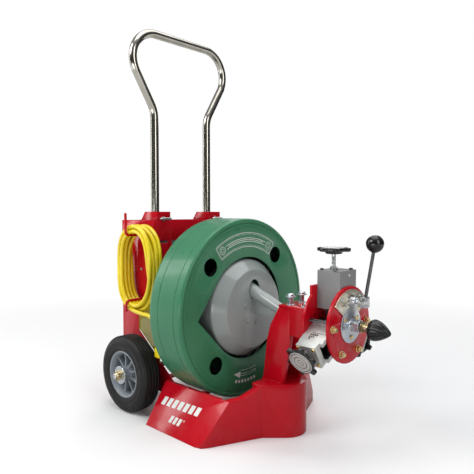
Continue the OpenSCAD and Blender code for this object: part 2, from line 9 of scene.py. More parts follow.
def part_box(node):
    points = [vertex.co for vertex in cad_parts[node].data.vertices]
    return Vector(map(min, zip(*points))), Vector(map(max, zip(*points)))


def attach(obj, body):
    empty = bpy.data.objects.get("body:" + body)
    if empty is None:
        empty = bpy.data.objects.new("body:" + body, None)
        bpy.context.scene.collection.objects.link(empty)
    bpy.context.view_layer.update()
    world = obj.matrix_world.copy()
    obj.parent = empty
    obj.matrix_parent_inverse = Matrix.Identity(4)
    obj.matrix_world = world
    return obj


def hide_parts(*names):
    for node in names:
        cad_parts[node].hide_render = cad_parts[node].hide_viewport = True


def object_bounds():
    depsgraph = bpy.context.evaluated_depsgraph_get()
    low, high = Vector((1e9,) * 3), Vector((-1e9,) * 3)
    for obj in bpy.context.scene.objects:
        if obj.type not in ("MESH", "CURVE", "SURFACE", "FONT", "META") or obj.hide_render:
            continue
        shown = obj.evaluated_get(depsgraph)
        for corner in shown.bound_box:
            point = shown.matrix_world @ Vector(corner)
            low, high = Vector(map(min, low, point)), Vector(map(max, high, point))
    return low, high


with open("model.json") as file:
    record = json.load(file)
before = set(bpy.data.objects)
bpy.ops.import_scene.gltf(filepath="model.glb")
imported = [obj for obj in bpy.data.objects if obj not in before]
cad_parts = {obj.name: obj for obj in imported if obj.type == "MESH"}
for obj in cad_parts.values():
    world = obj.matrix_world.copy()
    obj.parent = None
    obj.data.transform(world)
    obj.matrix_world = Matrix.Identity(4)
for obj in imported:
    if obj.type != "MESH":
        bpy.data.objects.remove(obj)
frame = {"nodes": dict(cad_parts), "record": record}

CAD_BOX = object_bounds()
MM = 0.001


def mid(node):
    lo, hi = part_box(node)
    return (lo + hi) / 2


AXLE_X = mid("axle").x
AXIS_Z = mid("front_plate").z / MM


def P(x, y, z):
    """A point in metres, from mm ahead of the axle, left of the middle and above the floor."""
    return Vector((AXLE_X + x * MM, y * MM, z * MM))


# ---------- camera ---------------------------
def aim(o, direction, up="Y"):
    o.rotation_mode = "QUATERNION"
    o.rotation_quaternion = Vector(direction).to_track_quat("-Z", up)


cam = bpy.data.objects.new("camera", bpy.data.cameras.new("camera"))
bpy.context.collection.objects.link(cam)
yaw, pitch = radians(133.515), radians(-2.7307)
cam.location = (1.10935, -1.23042, 0.66704)
aim(cam, (cos(yaw) * cos(pitch), sin(yaw) * cos(pitch), sin(pitch)))
cam.data.lens, cam.data.sensor_width = 38.975, 36
cam.data.clip_start, cam.data.clip_end = 0.05, 60
bpy.context.scene.camera = cam


# ---------- materials ----------
class Mat:
    """A small helper for node materials in object space."""

    def __init__(self, name):
        self.m = bpy.data.materials.new(name)
        self.m.use_nodes = True
        self.tree = self.m.node_tree
        self.bsdf = self.tree.nodes["Principled BSDF"]
        self.pos = self.add("TexCoord").outputs["Object"]

    def put(self, socket, value):
        if isinstance(value, bpy.types.NodeSocket):
            self.tree.links.new(value, socket)
        else:
            socket.default_value = value

    def add(self, kind, values=(), **settings):
        """A new node; values pairs its inputs, by name or number, with numbers or outputs."""
        n = self.tree.nodes.new("ShaderNode" + kind)
        for key, v in settings.items():
            setattr(n, key, v)
        for key, v in values:
            self.put(n.inputs[key], v)
        return n

    def stretch(self, scale):
        return self.add("Mapping", (("Vector", self.pos), ("Scale", scale))).outputs["Vector"]

    def noise(self, scale, detail=3.0, rough=0.55, at=None, warp=0.0):
        values = (("Vector", at or self.pos), ("Scale", scale), ("Detail", detail), ("Roughness", rough),
                  ("Distortion", warp))
        return self.add("TexNoise", values).outputs["Fac"]

    def spread(self, fac, a, b, lo=0.0, hi=1.0):
        return self.add("MapRange", enumerate((fac, a, b, lo, hi)), clamp=True).outputs[0]

    def times(self, a, b, op="MULTIPLY"):
        return self.add("Math", enumerate((a, b)), operation=op).outputs[0]

    def mix(self, fac, a, b):
        a, b = (c if isinstance(c, bpy.types.NodeSocket) else (*c, 1) for c in (a, b))
        return self.add("Mix", ((0, fac), (6, a), (7, b)), data_type="RGBA").outputs[2]

    def axis(self, i):
        return self.add("SeparateXYZ", ((0, self.pos),)).outputs[i]

    def bump(self, height, strength, depth=0.001, on=None):
        n = self.add("Bump", (("Height", height), ("Strength", strength), ("Distance", depth)))
        if on is not None:
            self.put(n.inputs["Normal"], on)
        return n.outputs[0]

    def edges(self, radius=0.0012):
        """1 on an edge and 0 on a flat, from how far a rounded normal leans; then the rounded normal."""
        soft = self.add("Bevel", (("Radius", radius),), samples=4).outputs[0]
        flat = self.add("NewGeometry").outputs["Normal"]
        lean = self.add("VectorMath", ((0, soft), (1, flat)), operation="DOT_PRODUCT").outputs["Value"]
        return self.spread(lean, 0.995, 0.88), soft

    def done(self, colour, rough, metal=0.0, normal=None, coat=None, coat_rough=None, spec=None):
        names = ("Base Color", "Roughness", "Metallic", "Normal", "Coat Weight", "Coat Roughness",
                 "Specular IOR Level")
        for key, v in zip(names, (colour, rough, metal, normal, coat, coat_rough, spec)):
            if v is not None:
                self.put(self.bsdf.inputs[key], v)
        return self.m


def shade(c, k):
    return tuple(min(1, x * k) for x in c)


def enamel(name, c, rough=0.22, coat=0.6, peel=0.05, dust=0.25, wear_and_highlight=0.5, bare=(0.45, 0.40, 0.36),
           grit=0.0, spec=0.5):
    """Sprayed paint: orange peel, colour drift, dusty low parts, edges lightened as thin paint and as a
    painted highlight, and a few chips.
    """
    m = Mat(name)
    edge, soft = m.edges()
    drift = m.spread(m.noise(7, 2), 0.35, 0.68)
    base = m.mix(drift, shade(c, 0.93), shade(c, 1.05))
    fine = m.spread(m.noise(90, 4, 0.6), 0.42, 0.72)
    base = m.mix(m.times(fine, 0.05), base, shade(c, 0.6))
    low = m.times(m.spread(m.axis(2), 0.17, 0.0), m.spread(m.noise(16, 5, 0.65), 0.4, 0.75))
    base = m.mix(m.times(low, dust), base, (0.36, 0.31, 0.27))
    # lighter edges: partly thin paint, partly a painted highlight along them
    worn_and_highlit = m.times(edge, m.spread(m.noise(55, 4, 0.7), 0.48, 0.66))
    base = m.mix(m.times(worn_and_highlit, wear_and_highlight * 0.5), base, shade(c, 1.9))
    chip = m.times(edge, m.spread(m.noise(210, 2), 0.68, 0.72))
    base = m.mix(m.times(chip, wear_and_highlight), base, bare)
    r = m.spread(m.noise(24, 5, 0.65), 0.3, 0.75, rough * 0.75, rough * 1.5)
    r = m.times(r, m.times(low, 0.3 * dust), "ADD")
    n = m.bump(m.noise(320, 2, 0.5), peel, 0.0006, soft)
    if grit:
        n = m.bump(m.noise(900, 3, 0.7), grit, 0.0005, n)
    return m.done(base, r, 0.0, n, coat, 0.06, spec)


def metal(name, c, rough=0.3, brush=(1, 1, 1), scratch=0.3, grime=0.25, tint=None, cast=0.0, shine=1.0):
    """Bare or plated metal: brushed or cast grain, handling marks, edges lightened partly as wear and
    partly as a painted highlight, grime that gathers in hollows.
    """
    m = Mat(name)
    edge, soft = m.edges(0.0008)
    at = m.stretch(brush)
    line = m.noise(420, 4, 0.7, at)
    patch = m.spread(m.noise(28, 4, 0.6, warp=0.4), 0.35, 0.7)
    base = m.mix(patch, shade(c, 0.78), shade(c, 1.06))
    if tint:
        base = m.mix(m.spread(m.noise(46, 3, 0.6, warp=1.2), 0.42, 0.62, 0, 0.55), base, tint)
    base = m.mix(m.times(m.spread(line, 0.3, 0.7), 0.12), base, shade(c, 0.55))
    spot = m.spread(m.noise(120, 5, 0.7), 0.55, 0.75)
    base = m.mix(m.times(spot, grime), base, (0.09, 0.08, 0.07))
    # lighter edges: partly worn bright metal, partly a painted highlight along them
    base = m.mix(m.times(edge, 0.35), base, shade(c, 1.25))
    r = m.times(m.spread(line, 0.3, 0.72, rough * 0.7, rough * 1.3), m.times(spot, 0.25), "ADD")
    n = m.bump(line, scratch * 0.35, 0.0004, soft)
    if cast:
        n = m.bump(m.noise(520, 4, 0.65), cast, 0.0009, n)
    return m.done(base, r, shine, n)


def moulded(name, c, rough=0.35, grain=0.08, coat=0.0, bloom=0.12, scale=700, spec=0.5):
    """Moulded plastic or rubber: fine grain, bloom, dust and scuffs, with edges lightened partly as scuffs
    and partly as a painted highlight.
    """
    m = Mat(name)
    edge, soft = m.edges(0.001)
    base = m.mix(m.spread(m.noise(11, 3), 0.35, 0.7), shade(c, 0.85), shade(c, 1.15))
    dusty = m.spread(m.noise(60, 5, 0.7), 0.5, 0.78)
    base = m.mix(m.times(dusty, bloom), base, (0.42, 0.40, 0.37))
    # lighter edges: partly scuffs, partly a painted highlight along them
    base = m.mix(m.times(edge, 0.25), base, tuple(x * 1.3 + 0.03 for x in c))
    r = m.spread(m.noise(38, 4, 0.6), 0.3, 0.75, rough * 0.8, min(1, rough * 1.35))
    n = m.bump(m.noise(scale, 3, 0.6), grain, 0.0006, soft)
    return m.done(base, r, 0.0, n, coat, 0.1, spec)


RED = enamel("red_paint", (0.50, 0.0015, 0.011), 0.20, 0.16, 0.015, dust=0.05, wear_and_highlight=0.22, spec=0.25)
GREEN = enamel("drum_green", (0.040, 0.200, 0.098), 0.30, 0.16, 0.02, 0.04, 0.25, (0.3, 0.33, 0.3),
               spec=0.35)
DOME = enamel("dome_grey", (0.30, 0.335, 0.325), 0.16, 0.35, 0.03, dust=0.0, wear_and_highlight=0.25)
BOX = enamel("feeder_grey", (0.215, 0.215, 0.215), 0.42, 0.08, 0.02, dust=0.0, wear_and_highlight=0.35, grit=0.03)
ALU = metal("housing_silver", (0.62, 0.62, 0.59), 0.42, (1, 1, 1), 0.12, 0.08, cast=0.08, shine=0.55)
STEEL = metal("steel", (0.64, 0.65, 0.66), 0.24, (1, 1, 6), 0.2, 0.14, shine=0.85)
ZINC = metal("zinc", (0.66, 0.69, 0.72), 0.22, (1, 1, 1), 0.2, 0.12, tint=(0.50, 0.58, 0.70), shine=0.8)
GOLD = metal("yellow_zinc", (0.80, 0.62, 0.28), 0.24, (1, 1, 1), 0.2, 0.15, tint=(0.72, 0.66, 0.48))
PALE = metal("pale_zinc", (0.80, 0.77, 0.66), 0.36, (1, 1, 1), 0.2, 0.14, tint=(0.80, 0.66, 0.42))
BRASS = metal("coupler_brass", (0.37, 0.31, 0.17), 0.3, (5, 1, 1), 0.3, 0.25)
WIRE = metal("cable_steel", (0.22, 0.215, 0.21), 0.42, (1, 1, 1), 0.3, 0.5)
DARKROD = metal("dark_rod", (0.16, 0.165, 0.17), 0.4, (1, 1, 8), 0.3, 0.3)
MOTOR_PAINT_AND_SHADE = enamel("motor_dark", (0.035, 0.037, 0.04), 0.45, 0.1, 0.03, dust=0.0, wear_and_highlight=0.3, grit=0.12)
IRON_AND_SHADE = metal("pulley_iron_and_shade", (0.14, 0.145, 0.15), 0.45, (1, 1, 1), 0.2, 0.45, cast=0.3)
HUB = enamel("hub_grey", (0.235, 0.27, 0.30), 0.34, 0.2, 0.04, dust=0.12, wear_and_highlight=0.6)
GUARD = enamel("guard_yellow", (0.44, 0.37, 0.014), 0.4, 0.1, 0.03, dust=0.1, wear_and_highlight=0.4)
BLACK = moulded("black_phenolic", (0.006, 0.006, 0.0065), 0.12, 0.02, 0.3, 0.01, 260, 0.35)
BELT = moulded("belt_rubber", (0.02, 0.02, 0.02), 0.7, 0.25, 0.0, 0.2, 900)
BULB = moulded("bulb_black", (0.005, 0.005, 0.0055), 0.18, 0.06, 0.15, 0.02, 300, 0.35)
WHITE = enamel("printed_white", (0.78, 0.80, 0.77), 0.4, 0.1, 0.02, dust=0.0, wear_and_highlight=0.2)
INK = enamel("printed_black", (0.03, 0.03, 0.03), 0.5, 0.0, 0.02, dust=0.0, wear_and_highlight=0.2)


def chrome():
    """Old chrome tube: smooth, a little smoky, with faint smears along it."""
    m = Mat("chrome")
    base = m.mix(m.spread(m.noise(20, 4, 0.6), 0.35, 0.7), (0.40, 0.38, 0.33), (0.50, 0.48, 0.43))
    smear = m.spread(m.noise(34, 5, 0.6, m.stretch((1, 1, 0.2)), 0.4), 0.4, 0.8, 0.13, 0.2)
    return m.done(base, smear, 1.0)


def rubber(name):
    """Tyre rubber: matt, dusty in the grooves and where it has rolled."""
    m = Mat(name)
    edge, soft = m.edges(0.0015)
    base = m.mix(m.spread(m.noise(9, 3), 0.35, 0.7), (0.006, 0.006, 0.006), (0.013, 0.013, 0.0125))
    dust = m.spread(m.noise(45, 6, 0.72), 0.52, 0.85, 0, 0.14)
    base = m.mix(dust, base, (0.16, 0.145, 0.125))
    # lighter edges: partly scuffs, partly a painted highlight along them
    base = m.mix(m.times(edge, 0.2), base, (0.09, 0.09, 0.09))
    r = m.spread(m.noise(30, 5, 0.7), 0.3, 0.75, 0.40, 0.62)
    return m.done(base, r, 0.0, m.bump(m.noise(650, 4, 0.7), 0.10, 0.0008, soft), spec=0.3)


def jacket():
    """Cord jacket: bright vinyl, a little handled, with faint filler ridges."""
    m = Mat("cord_yellow")
    base = m.mix(m.spread(m.noise(14, 4), 0.35, 0.7), (0.80, 0.60, 0.006), (0.93, 0.76, 0.012))
    base = m.mix(m.spread(m.noise(70, 5, 0.7), 0.6, 0.85, 0, 0.35), base, (0.40, 0.30, 0.05))
    r = m.spread(m.noise(40, 4), 0.3, 0.7, 0.26, 0.42)
    n = m.bump(m.noise(240, 3, 0.6), 0.08, 0.0008)
    return m.done(base, r, 0.0, n, 0.15, 0.2)


CHROME, TYRE, CORD = chrome(), rubber("tyre_black"), jacket()


# ---------- mesh building ----------
def polar(r, a):
    """A point at radius r and angle a."""
    return r * cos(a), r * sin(a)


def circle(r, n, at=(0, 0)):
    return [(at[0] + r * cos(tau * i / n), at[1] + r * sin(tau * i / n)) for i in range(n)]


def arc(cx, cy, r, a0, a1, n):
    """Points on an arc about (cx, cy), angles in degrees."""
    turns = [radians(a0 + (a1 - a0) * i / n) for i in range(n + 1)]
    return [(cx + r * cos(a), cy + r * sin(a)) for a in turns]


def level_ring(r, z, n):
    """n points round a local Z, at height z, in mm; r is a radius or gives one for an angle."""
    out = []
    for a in [tau * j / n for j in range(n)]:
        q = (r(a) if callable(r) else r) * MM
        out.append((q * cos(a), q * sin(a), z * MM))
    return out


def basis(origin, z, x=None):
    """A matrix whose Z runs along z, placed at origin."""
    z = Vector(z).normalized()
    x = Vector(x) if x is not None else (Vector((0, 0, 1)) if abs(z.z) < 0.9 else Vector((1, 0, 0)))
    x = (x - z * x.dot(z)).normalized()
    m = Matrix((x, z.cross(x), z)).transposed().to_4x4()
    m.translation = origin
    return m


class Form:
    """Collects parts of one piece, in metres, and makes one object of them."""

    def __init__(self):
        self.v, self.f, self.m = [], [], []

    def add(self, v, f, mat=0, at=None):
        k = len(self.v)
        self.v += [at @ Vector(p) if at else Vector(p) for p in v]
        self.f += [[i + k for i in q] for q in f]
        self.m += [mat] * len(f)
        return self

    def rings(self, rows, mat=0, at=None, caps=True, loop=False):
        """Skins a list of closed rings of points, each the same length."""
        n, k = len(rows[0]), len(rows)
        f = []
        for i in range(k if loop else k - 1):
            for j in range(n):
                a, b = i * n + j, i * n + (j + 1) % n
                c, d = ((i + 1) % k) * n + (j + 1) % n, ((i + 1) % k) * n + j
                f.append([a, b, c, d])
        if caps and not loop:
            f += [list(range(n))[::-1], [(k - 1) * n + j for j in range(n)]]
        return self.add([p for r in rows for p in r], f, mat, at)

    def lathe(self, profile, at, n=64, mat=0, loop=False, caps=True, wobble=None):
        """Turns (radius, height) in mm about the Z of at."""
        rows = []
        for i, (r, z) in enumerate(profile):
            rows.append(level_ring(lambda a: wobble(a, i, r) if wobble else r, z, n))
        return self.rings(rows, mat, at, loop=loop, caps=caps)

    def tube(self, pts, r, n=16, mat=0):
        """Sweeps a circle along points in metres; r is one radius or one for each point."""
        pts = [Vector(p) for p in pts]
        radii = r if isinstance(r, list) else [r] * len(pts)
        t = [(pts[min(i + 1, len(pts) - 1)] - pts[max(i - 1, 0)]).normalized() for i in range(len(pts))]
        u = t[0].orthogonal().normalized()
        rows = []
        for i, p in enumerate(pts):
            u = (u - t[i] * u.dot(t[i])).normalized()
            w = t[i].cross(u)
            rows.append([p + radii[i] * (x * u + y * w) for x, y in circle(1, n)])
        return self.rings(rows, mat)

    def block(self, lo, hi, round_mm=1.0, mat=0, at=None):
        """A box with rounded edges, corners in metres."""
        bm = bmesh.new()
        bmesh.ops.create_cube(bm, size=1)
        lo, hi = Vector(lo), Vector(hi)
        for v in bm.verts:
            v.co = Vector([(lo[i] + hi[i]) / 2 + v.co[i] * (hi[i] - lo[i]) for i in range(3)])
        if round_mm:
            bmesh.ops.bevel(bm, geom=bm.edges[:], offset=round_mm * MM, segments=2, profile=0.5,
                            affect="EDGES", clamp_overlap=True)
        bm.verts.index_update()
        self.add([v.co for v in bm.verts], [[v.index for v in f.verts] for f in bm.faces], mat, at)
        bm.free()
        return self

    def hexnut(self, at, across, height, bore=0.0, mat=0, washer=None, dome=0.0):
        """A chamfered six-sided nut or bolt head standing on the plane of at; sizes in mm."""
        n, a = 72, across / 2
        rc = a * 0.97

        def ring(z, top):
            row = []
            for j in range(n):
                t = tau * j / n
                rad = a / cos((t + pi / 6) % (pi / 3) - pi / 6)
                row.append((*polar(rad * MM, t), (z - max(0, rad - rc) * 0.58 * top) * MM))
            return row

        top = [(rc, height)]
        if bore:
            top += [(bore + 0.6, height), (bore, height - 0.6)]
        elif dome:
            top += [(rc * 0.8, height + dome * 0.5), (rc * 0.4, height + dome * 0.9),
                    (rc * 0.08, height + dome)]
        self.rings([ring(0.0, 0), ring(height, 1)] + [level_ring(r, z, n) for r, z in top], mat, at)
        if washer:
            w, th = washer
            self.lathe([(a * 0.5, 0), (w - 0.4, 0), (w, 0.4), (w, th - 0.4), (w - 0.4, th), (a * 0.5, th)],
                       at, 48, mat)
        return self

    def thread(self, at, r, length, pitch=2.0, depth=0.7, mat=0, n=28):
        """A threaded rod standing on the plane of at."""
        rows, steps = [], max(4, int(length / pitch * 6))
        for i in range(steps + 1):
            z = length * i / steps
            row = []
            for j in range(n):
                w = (z / pitch - j / n) % 1
                q = r - depth * (1 - abs(2 * w - 1)) * (0.3 if i in (0, steps) else 1)
                row.append((*polar(q * MM, tau * j / n), z * MM))
            rows.append(row)
        return self.rings(rows, mat, at)

    def make(self, name, body, mats, replaces=None, angle=32, round_mm=0):
        me = bpy.data.meshes.new(name)
        me.from_pydata([tuple(p) for p in self.v], [], self.f)
        me.polygons.foreach_set("material_index", self.m)
        return finish_mesh(me, name, body, mats, replaces, angle, round_mm)

    def stand_for(self, node, mats, angle=32):
        """Makes the piece that replaces a CAD node, on the same body."""
        return self.make(node + "_form", BODY_OF[node], mats, node, angle)


def finish_mesh(me, name, body, mats, replaces, angle, round_mm, round_over=40):
    """Welds a mesh, rounds its sharp edges if asked, and puts it on its body."""
    bm = bmesh.new()
    bm.from_mesh(me)
    bmesh.ops.remove_doubles(bm, verts=bm.verts, dist=1e-6)
    if round_mm:
        bmesh.ops.dissolve_limit(bm, angle_limit=radians(1), verts=bm.verts, edges=bm.edges)
        sharp = [e for e in bm.edges if e.is_manifold and e.calc_face_angle(0) > radians(round_over)]
        bmesh.ops.bevel(bm, geom=sharp, offset=round_mm * MM, segments=2, profile=0.5, affect="EDGES",
                        clamp_overlap=True, miter_outer="ARC")
        bmesh.ops.remove_doubles(bm, verts=bm.verts, dist=1e-6)
    bmesh.ops.recalc_face_normals(bm, faces=bm.faces)
    bm.to_mesh(me)
    bm.free()
    for m in mats if isinstance(mats, list) else [mats]:
        me.materials.append(m)
    me.shade_smooth()
    me.set_sharp_from_angle(angle=radians(angle))
    o = bpy.data.objects.new(name, me)
    bpy.context.collection.objects.link(o)
    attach(o, body)
    if replaces:
        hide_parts(replaces)
    return o


BODY_OF = {n: b for b, ns in frame["record"]["behaviour"]["bodies"].items() for n in ns}


def skin(node, mats, round_mm=1.0, pick=lambda centre: 0, angle=32, round_over=40):
    """The CAD node's own shape with rounded edges; pick gives a face's material from its centre."""
    me = frame["nodes"][node].data.copy()
    me.materials.clear()
    o = finish_mesh(me, node + "_form", BODY_OF[node], mats, node, angle, round_mm, round_over)
    for f in o.data.polygons:
        f.material_index = pick(f.center)


# ---------- power cord ----------
CORD_R = 7.0
CORD_TURNS = 7.235


def fillet(pts, r, step=5.0):
    """Rounds the corners of a path in mm."""
    pts = [Vector(p) for p in pts]
    out = [pts[0]]
    for i in range(1, len(pts) - 1):
        a, b, c = pts[i - 1], pts[i], pts[i + 1]
        u, w = (a - b), (c - b)
        d = min(r, u.length * 0.48, w.length * 0.48)
        p, q = b + u.normalized() * d, b + w.normalized() * d
        n = max(4, int(d * 1.6 / step))
        out += [(1 - t) ** 2 * p + 2 * t * (1 - t) * b + t * t * q for t in [k / n for k in range(n + 1)]]
    return out + [pts[-1]]


def oval(s, w, h):
    """A point on an upright oval w by h; s runs from 0 to 1, down from the middle of its rear side."""
    r, st = w / 2, h - w
    d = (s % 1) * (2 * st + pi * w)
    if d < st / 2:
        return -r, -d
    d -= st / 2
    if d < pi * r:
        return -r * cos(d / r), -st / 2 - r * sin(d / r)
    d -= pi * r
    if d < st:
        return r, d - st / 2
    d -= st
    if d < pi * r:
        return r * cos(d / r), st / 2 + r * sin(d / r)
    return -r, st / 2 - (d - pi * r)


coil_lo, coil_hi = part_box("cord_coil")
COIL_X = ((coil_lo.x + coil_hi.x) / 2 - AXLE_X) / MM
COIL_Z = (coil_lo.z + coil_hi.z) / 2 / MM
COIL_W, COIL_H = (coil_hi.x - coil_lo.x) / MM, (coil_hi.z - coil_lo.z) / MM
COIL_Y = coil_hi.y / MM
ROUTE = [(-115, -67, 606), (-115, -90, 606), (-114.5, -112, 606), (-114, -128, 605.5),
         (-113, -148.4, 601.7), (-110, -166.6, 589.6), (-106, -178.7, 571.4), (-101, -183, 550),
         (-95, -184, 525), (-91.6, -184, 500)]
TAIL_X, TAIL_Y, TAIL_Z, TAIL_R = 74, -225, 276, 56
TAIL = [(45, TAIL_Y, TAIL_Z + TAIL_R)]
for a in [radians(d) for d in range(0, 91, 10)]:
    TAIL.append((TAIL_X + TAIL_R * sin(a), TAIL_Y + 18 * (1 - cos(a)) ** 0.9, TAIL_Z + TAIL_R * cos(a)))


def ease(x):
    """A smooth step from 0 to 1."""
    x = max(0.0, min(1.0, x))
    return x * x * (3 - 2 * x)


def cord_points():
    """Out of the switch box, through the side plate, round the two hooks and down to the plug."""
    out = [Vector(p) for p in ROUTE]
    # where each turn lies: its ring, counted inwards, and its layer, counted towards the machine
    places = [(0, 0), (1, 0), (1, 1), (0, 1), (0, 2), (1, 2), (1, 3), (0, 3)]
    steps = 40
    for i in range(3, int(CORD_TURNS * steps)):
        t = i / steps
        k = int(t)
        a, b = places[k], places[min(k + 1, 7)]
        # each turn moves to its next place a little earlier than the one before it
        e = ease((t - k - (0.88 - 0.092 * k)) / 0.13) if k < 7 else 0
        ring, layer = a[0] + (b[0] - a[0]) * e, a[1] + (b[1] - a[1]) * e
        inset = 7.1 + 14.6 * ring
        x, z = oval(t, COIL_W - 2 * inset, COIL_H - 2 * inset)
        x -= 14 * (1 - ease(t / 0.22))
        out.append(Vector((COIL_X + x, COIL_Y - 7 - 14 * layer, COIL_Z + z)))
    return out + [Vector(p) for p in TAIL]


def smooth_path(pts, n):
    """Evenly spaced points on a Catmull-Rom curve through pts."""
    dense = []
    for i in range(len(pts) - 1):
        p0, p1, p2, p3 = pts[max(i - 1, 0)], pts[i], pts[i + 1], pts[min(i + 2, len(pts) - 1)]
        for k in range(8):
            t = k / 8
            bend = (2 * p0 - 5 * p1 + 4 * p2 - p3) * t * t
            dense.append(0.5 * ((2 * p1) + (p2 - p0) * t + bend + (3 * p1 - p0 - 3 * p2 + p3) * t ** 3))
    dense.append(pts[-1])
    d = [0.0]
    for a, b in zip(dense, dense[1:]):
        d.append(d[-1] + (b - a).length)
    out, j = [], 0
    for i in range(n):
        s = d[-1] * i / (n - 1)
        while j < len(d) - 2 and d[j + 1] < s:
            j += 1
        out.append(dense[j].lerp(dense[j + 1], (s - d[j]) / max(1e-9, d[j + 1] - d[j])))
    return out


path = smooth_path(cord_points(), 460)
# ease the joins, so that nothing turns sharply
for _ in range(14):
    eased = [(path[i - 1] + path[i] * 2 + path[i + 1]) / 4 for i in range(3, len(path) - 9)]
    path = path[:3] + eased + path[-9:]
curve = bpy.data.curves.new("power_cord", "CURVE")
curve.dimensions = "3D"
curve.bevel_depth = CORD_R * MM
curve.bevel_resolution = 5
curve.use_fill_caps = True
spline = curve.splines.new("POLY")
spline.points.add(len(path) - 1)
for q, p in zip(spline.points, path):
    q.co = (*P(*p), 1)
spline.use_smooth = True
curve.materials.append(CORD)
cord = bpy.data.objects.new("power_cord", curve)
bpy.context.collection.objects.link(cord)
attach(cord, "frame")
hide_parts("cord_tube", "cord_coil")


# ---------- drum, dome and guide tube ----------
def along(x, y=0.0, z=None, hint=(0, 0, 1)):
    """A local frame at a point in mm, with its Z forward and, by default, its X up."""
    return basis(P(x, y, AXIS_Z if z is None else z), (1, 0, 0), hint)


def grow(loop, d):
    """Moves an outline outwards by d, or inwards where d is negative."""
    n, out = len(loop), []
    area = sum(loop[i][0] * loop[(i + 1) % n][1] - loop[(i + 1) % n][0] * loop[i][1] for i in range(n))
    s = 1 if area > 0 else -1
    for i in range(n):
        a, b, c = (Vector(loop[(i + k) % n]) for k in (-1, 0, 1))
        u, w = (b - a).normalized(), (c - b).normalized()
        t = Vector((u.y + w.y, -u.x - w.x)).normalized()
        out.append(tuple(b + t * s * d / max(0.4, t.dot(Vector((u.y, -u.x))))))
    return out


def plate(form, outer, holes, z0, z1, at, mat=0, lip=1.0, outer_wall=True):
    """A flat sheet from z0 to z1 (mm) with rounded edges at its holes and, if asked, at its rim."""
    def level(loop, d, z):
        return [(x * MM, y * MM, z * MM) for x, y in grow(loop, d)]

    for top in (True, False):
        loops = [grow(outer, -lip if outer_wall else 0)] + [grow(h, lip) for h in holes]
        pts, edges = [], []
        for lo in loops:
            k = len(pts)
            pts += [Vector(p) for p in lo]
            edges += [(k + i, k + (i + 1) % len(lo)) for i in range(len(lo))]
        v, _, f, *_ = delaunay_2d_cdt(pts, edges, [], 0, 1e-6)

        def inside(p, lo):
            c = False
            for i in range(len(lo)):
                (x1, y1), (x2, y2) = lo[i], lo[i - 1]
                if (y1 > p[1]) != (y2 > p[1]) and p[0] < (x2 - x1) * (p[1] - y1) / (y2 - y1) + x1:
                    c = not c
            return c

        keep = []
        for q in f:
            c = sum((v[i] for i in q), Vector((0, 0))) / len(q)
            if inside(c, loops[0]) and not any(inside(c, h) for h in loops[1:]):
                keep.append(q if top else q[::-1])
        form.add([(p.x * MM, p.y * MM, (z1 if top else z0) * MM) for p in v], keep, mat, at)
    for k, lo in enumerate([outer] + list(holes)):
        if k == 0 and not outer_wall:
            continue
        s = -1 if k == 0 else 1
        rows = [level(lo, s * lip, z1), level(lo, s * lip * 0.3, z1 - lip * 0.3), level(lo, 0, z1 - lip),
                level(lo, 0, z0 + lip), level(lo, s * lip * 0.3, z0 + lip * 0.3), level(lo, s * lip, z0)]
        form.rings(rows, mat, at, caps=False)


drum_lo, drum_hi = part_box("drum_shell")
R, T = (drum_hi.z - drum_lo.z) / 2 / MM, (drum_hi.x - drum_lo.x) / MM
DRUM_X = (drum_hi.x - AXLE_X) / MM
at_drum = along(DRUM_X - T)
MOUTH_R, MOUTH_TIP, MOUTH_TURN = 165, 219, 94
HOLE_R, HOLE_PLACE = 27.5, 217
side_turn = degrees(acos(MOUTH_R / MOUTH_TIP))
mouth = arc(0, 0, MOUTH_R, MOUTH_TURN + side_turn, MOUTH_TURN + 360 - side_turn, 110)
# a small radius at the point of the mouth
for k in (-8, -5, -2, 0, 2, 5, 8):
    mouth.append(polar(MOUTH_TIP - 2 - abs(k) * 0.35, radians(MOUTH_TURN + k * 0.12)))
holes = [circle(HOLE_R, 48, polar(HOLE_PLACE, radians(a))) for a in (49, 139, 229, 319)]


def groove(top):
    """A shallow groove round the drum's side, with support rows beside it."""
    return [(R, top + 0.6), (R, top), (R - 0.2, top - 0.4), (R - 1.3, top - 1), (R - 1.3, top - 2.4),
            (R - 0.2, top - 3), (R, top - 3.4), (R, top - 4)]


f = Form()
n_drum = 216
rim = [(R - 27, T - 2), (R - 16.6, T - 2), (R - 15.8, T - 3.4), (R - 14.4, T - 3.4), (R - 13.6, T - 1),
       (R - 12.6, T - 0.2), (R - 10, T)] + arc(R - 9, T - 9, 9, 90, 0, 8) + [(R, T - 9.6)]
back = arc(R - 16, 16, 16, 0, -90, 8)
back += [(R - 60, 0), (R - 64, 3), (70, 3), (64, 0), (40, 0), (40, 5), (R - 60, 5)]
inside = [(R - 12, 5), (R - 6, 10), (R - 5, 18), (R - 5, T - 24), (R - 10, T - 14), (R - 22, T - 6),
          (R - 28, T - 5), (R - 28, T - 2)]
f.lathe(rim + groove(T - 28) + groove(50) + [(R, 16.6)] + back + inside, at_drum, n_drum, loop=True)
plate(f, circle(R - 27.5, n_drum), [mouth] + holes, T - 5, T - 2, at_drum, lip=1.1, outer_wall=False)
f.make("drum_form", "drum", GREEN, "drum_shell", angle=34)


def ribbon(form, r0, r1, a0, a1, z, at, n=60):
    """A thin flat ring sector, angles in degrees."""
    rows, top = [], z + 0.25
    for i in range(n + 1):
        x, y = polar(MM, radians(a0 + (a1 - a0) * i / n))
        rows.append([(r * x, r * y, h * MM) for r, h in ((r0, z), (r1, z), (r1, top), (r0, top))])
    form.rings(rows, 0, at)


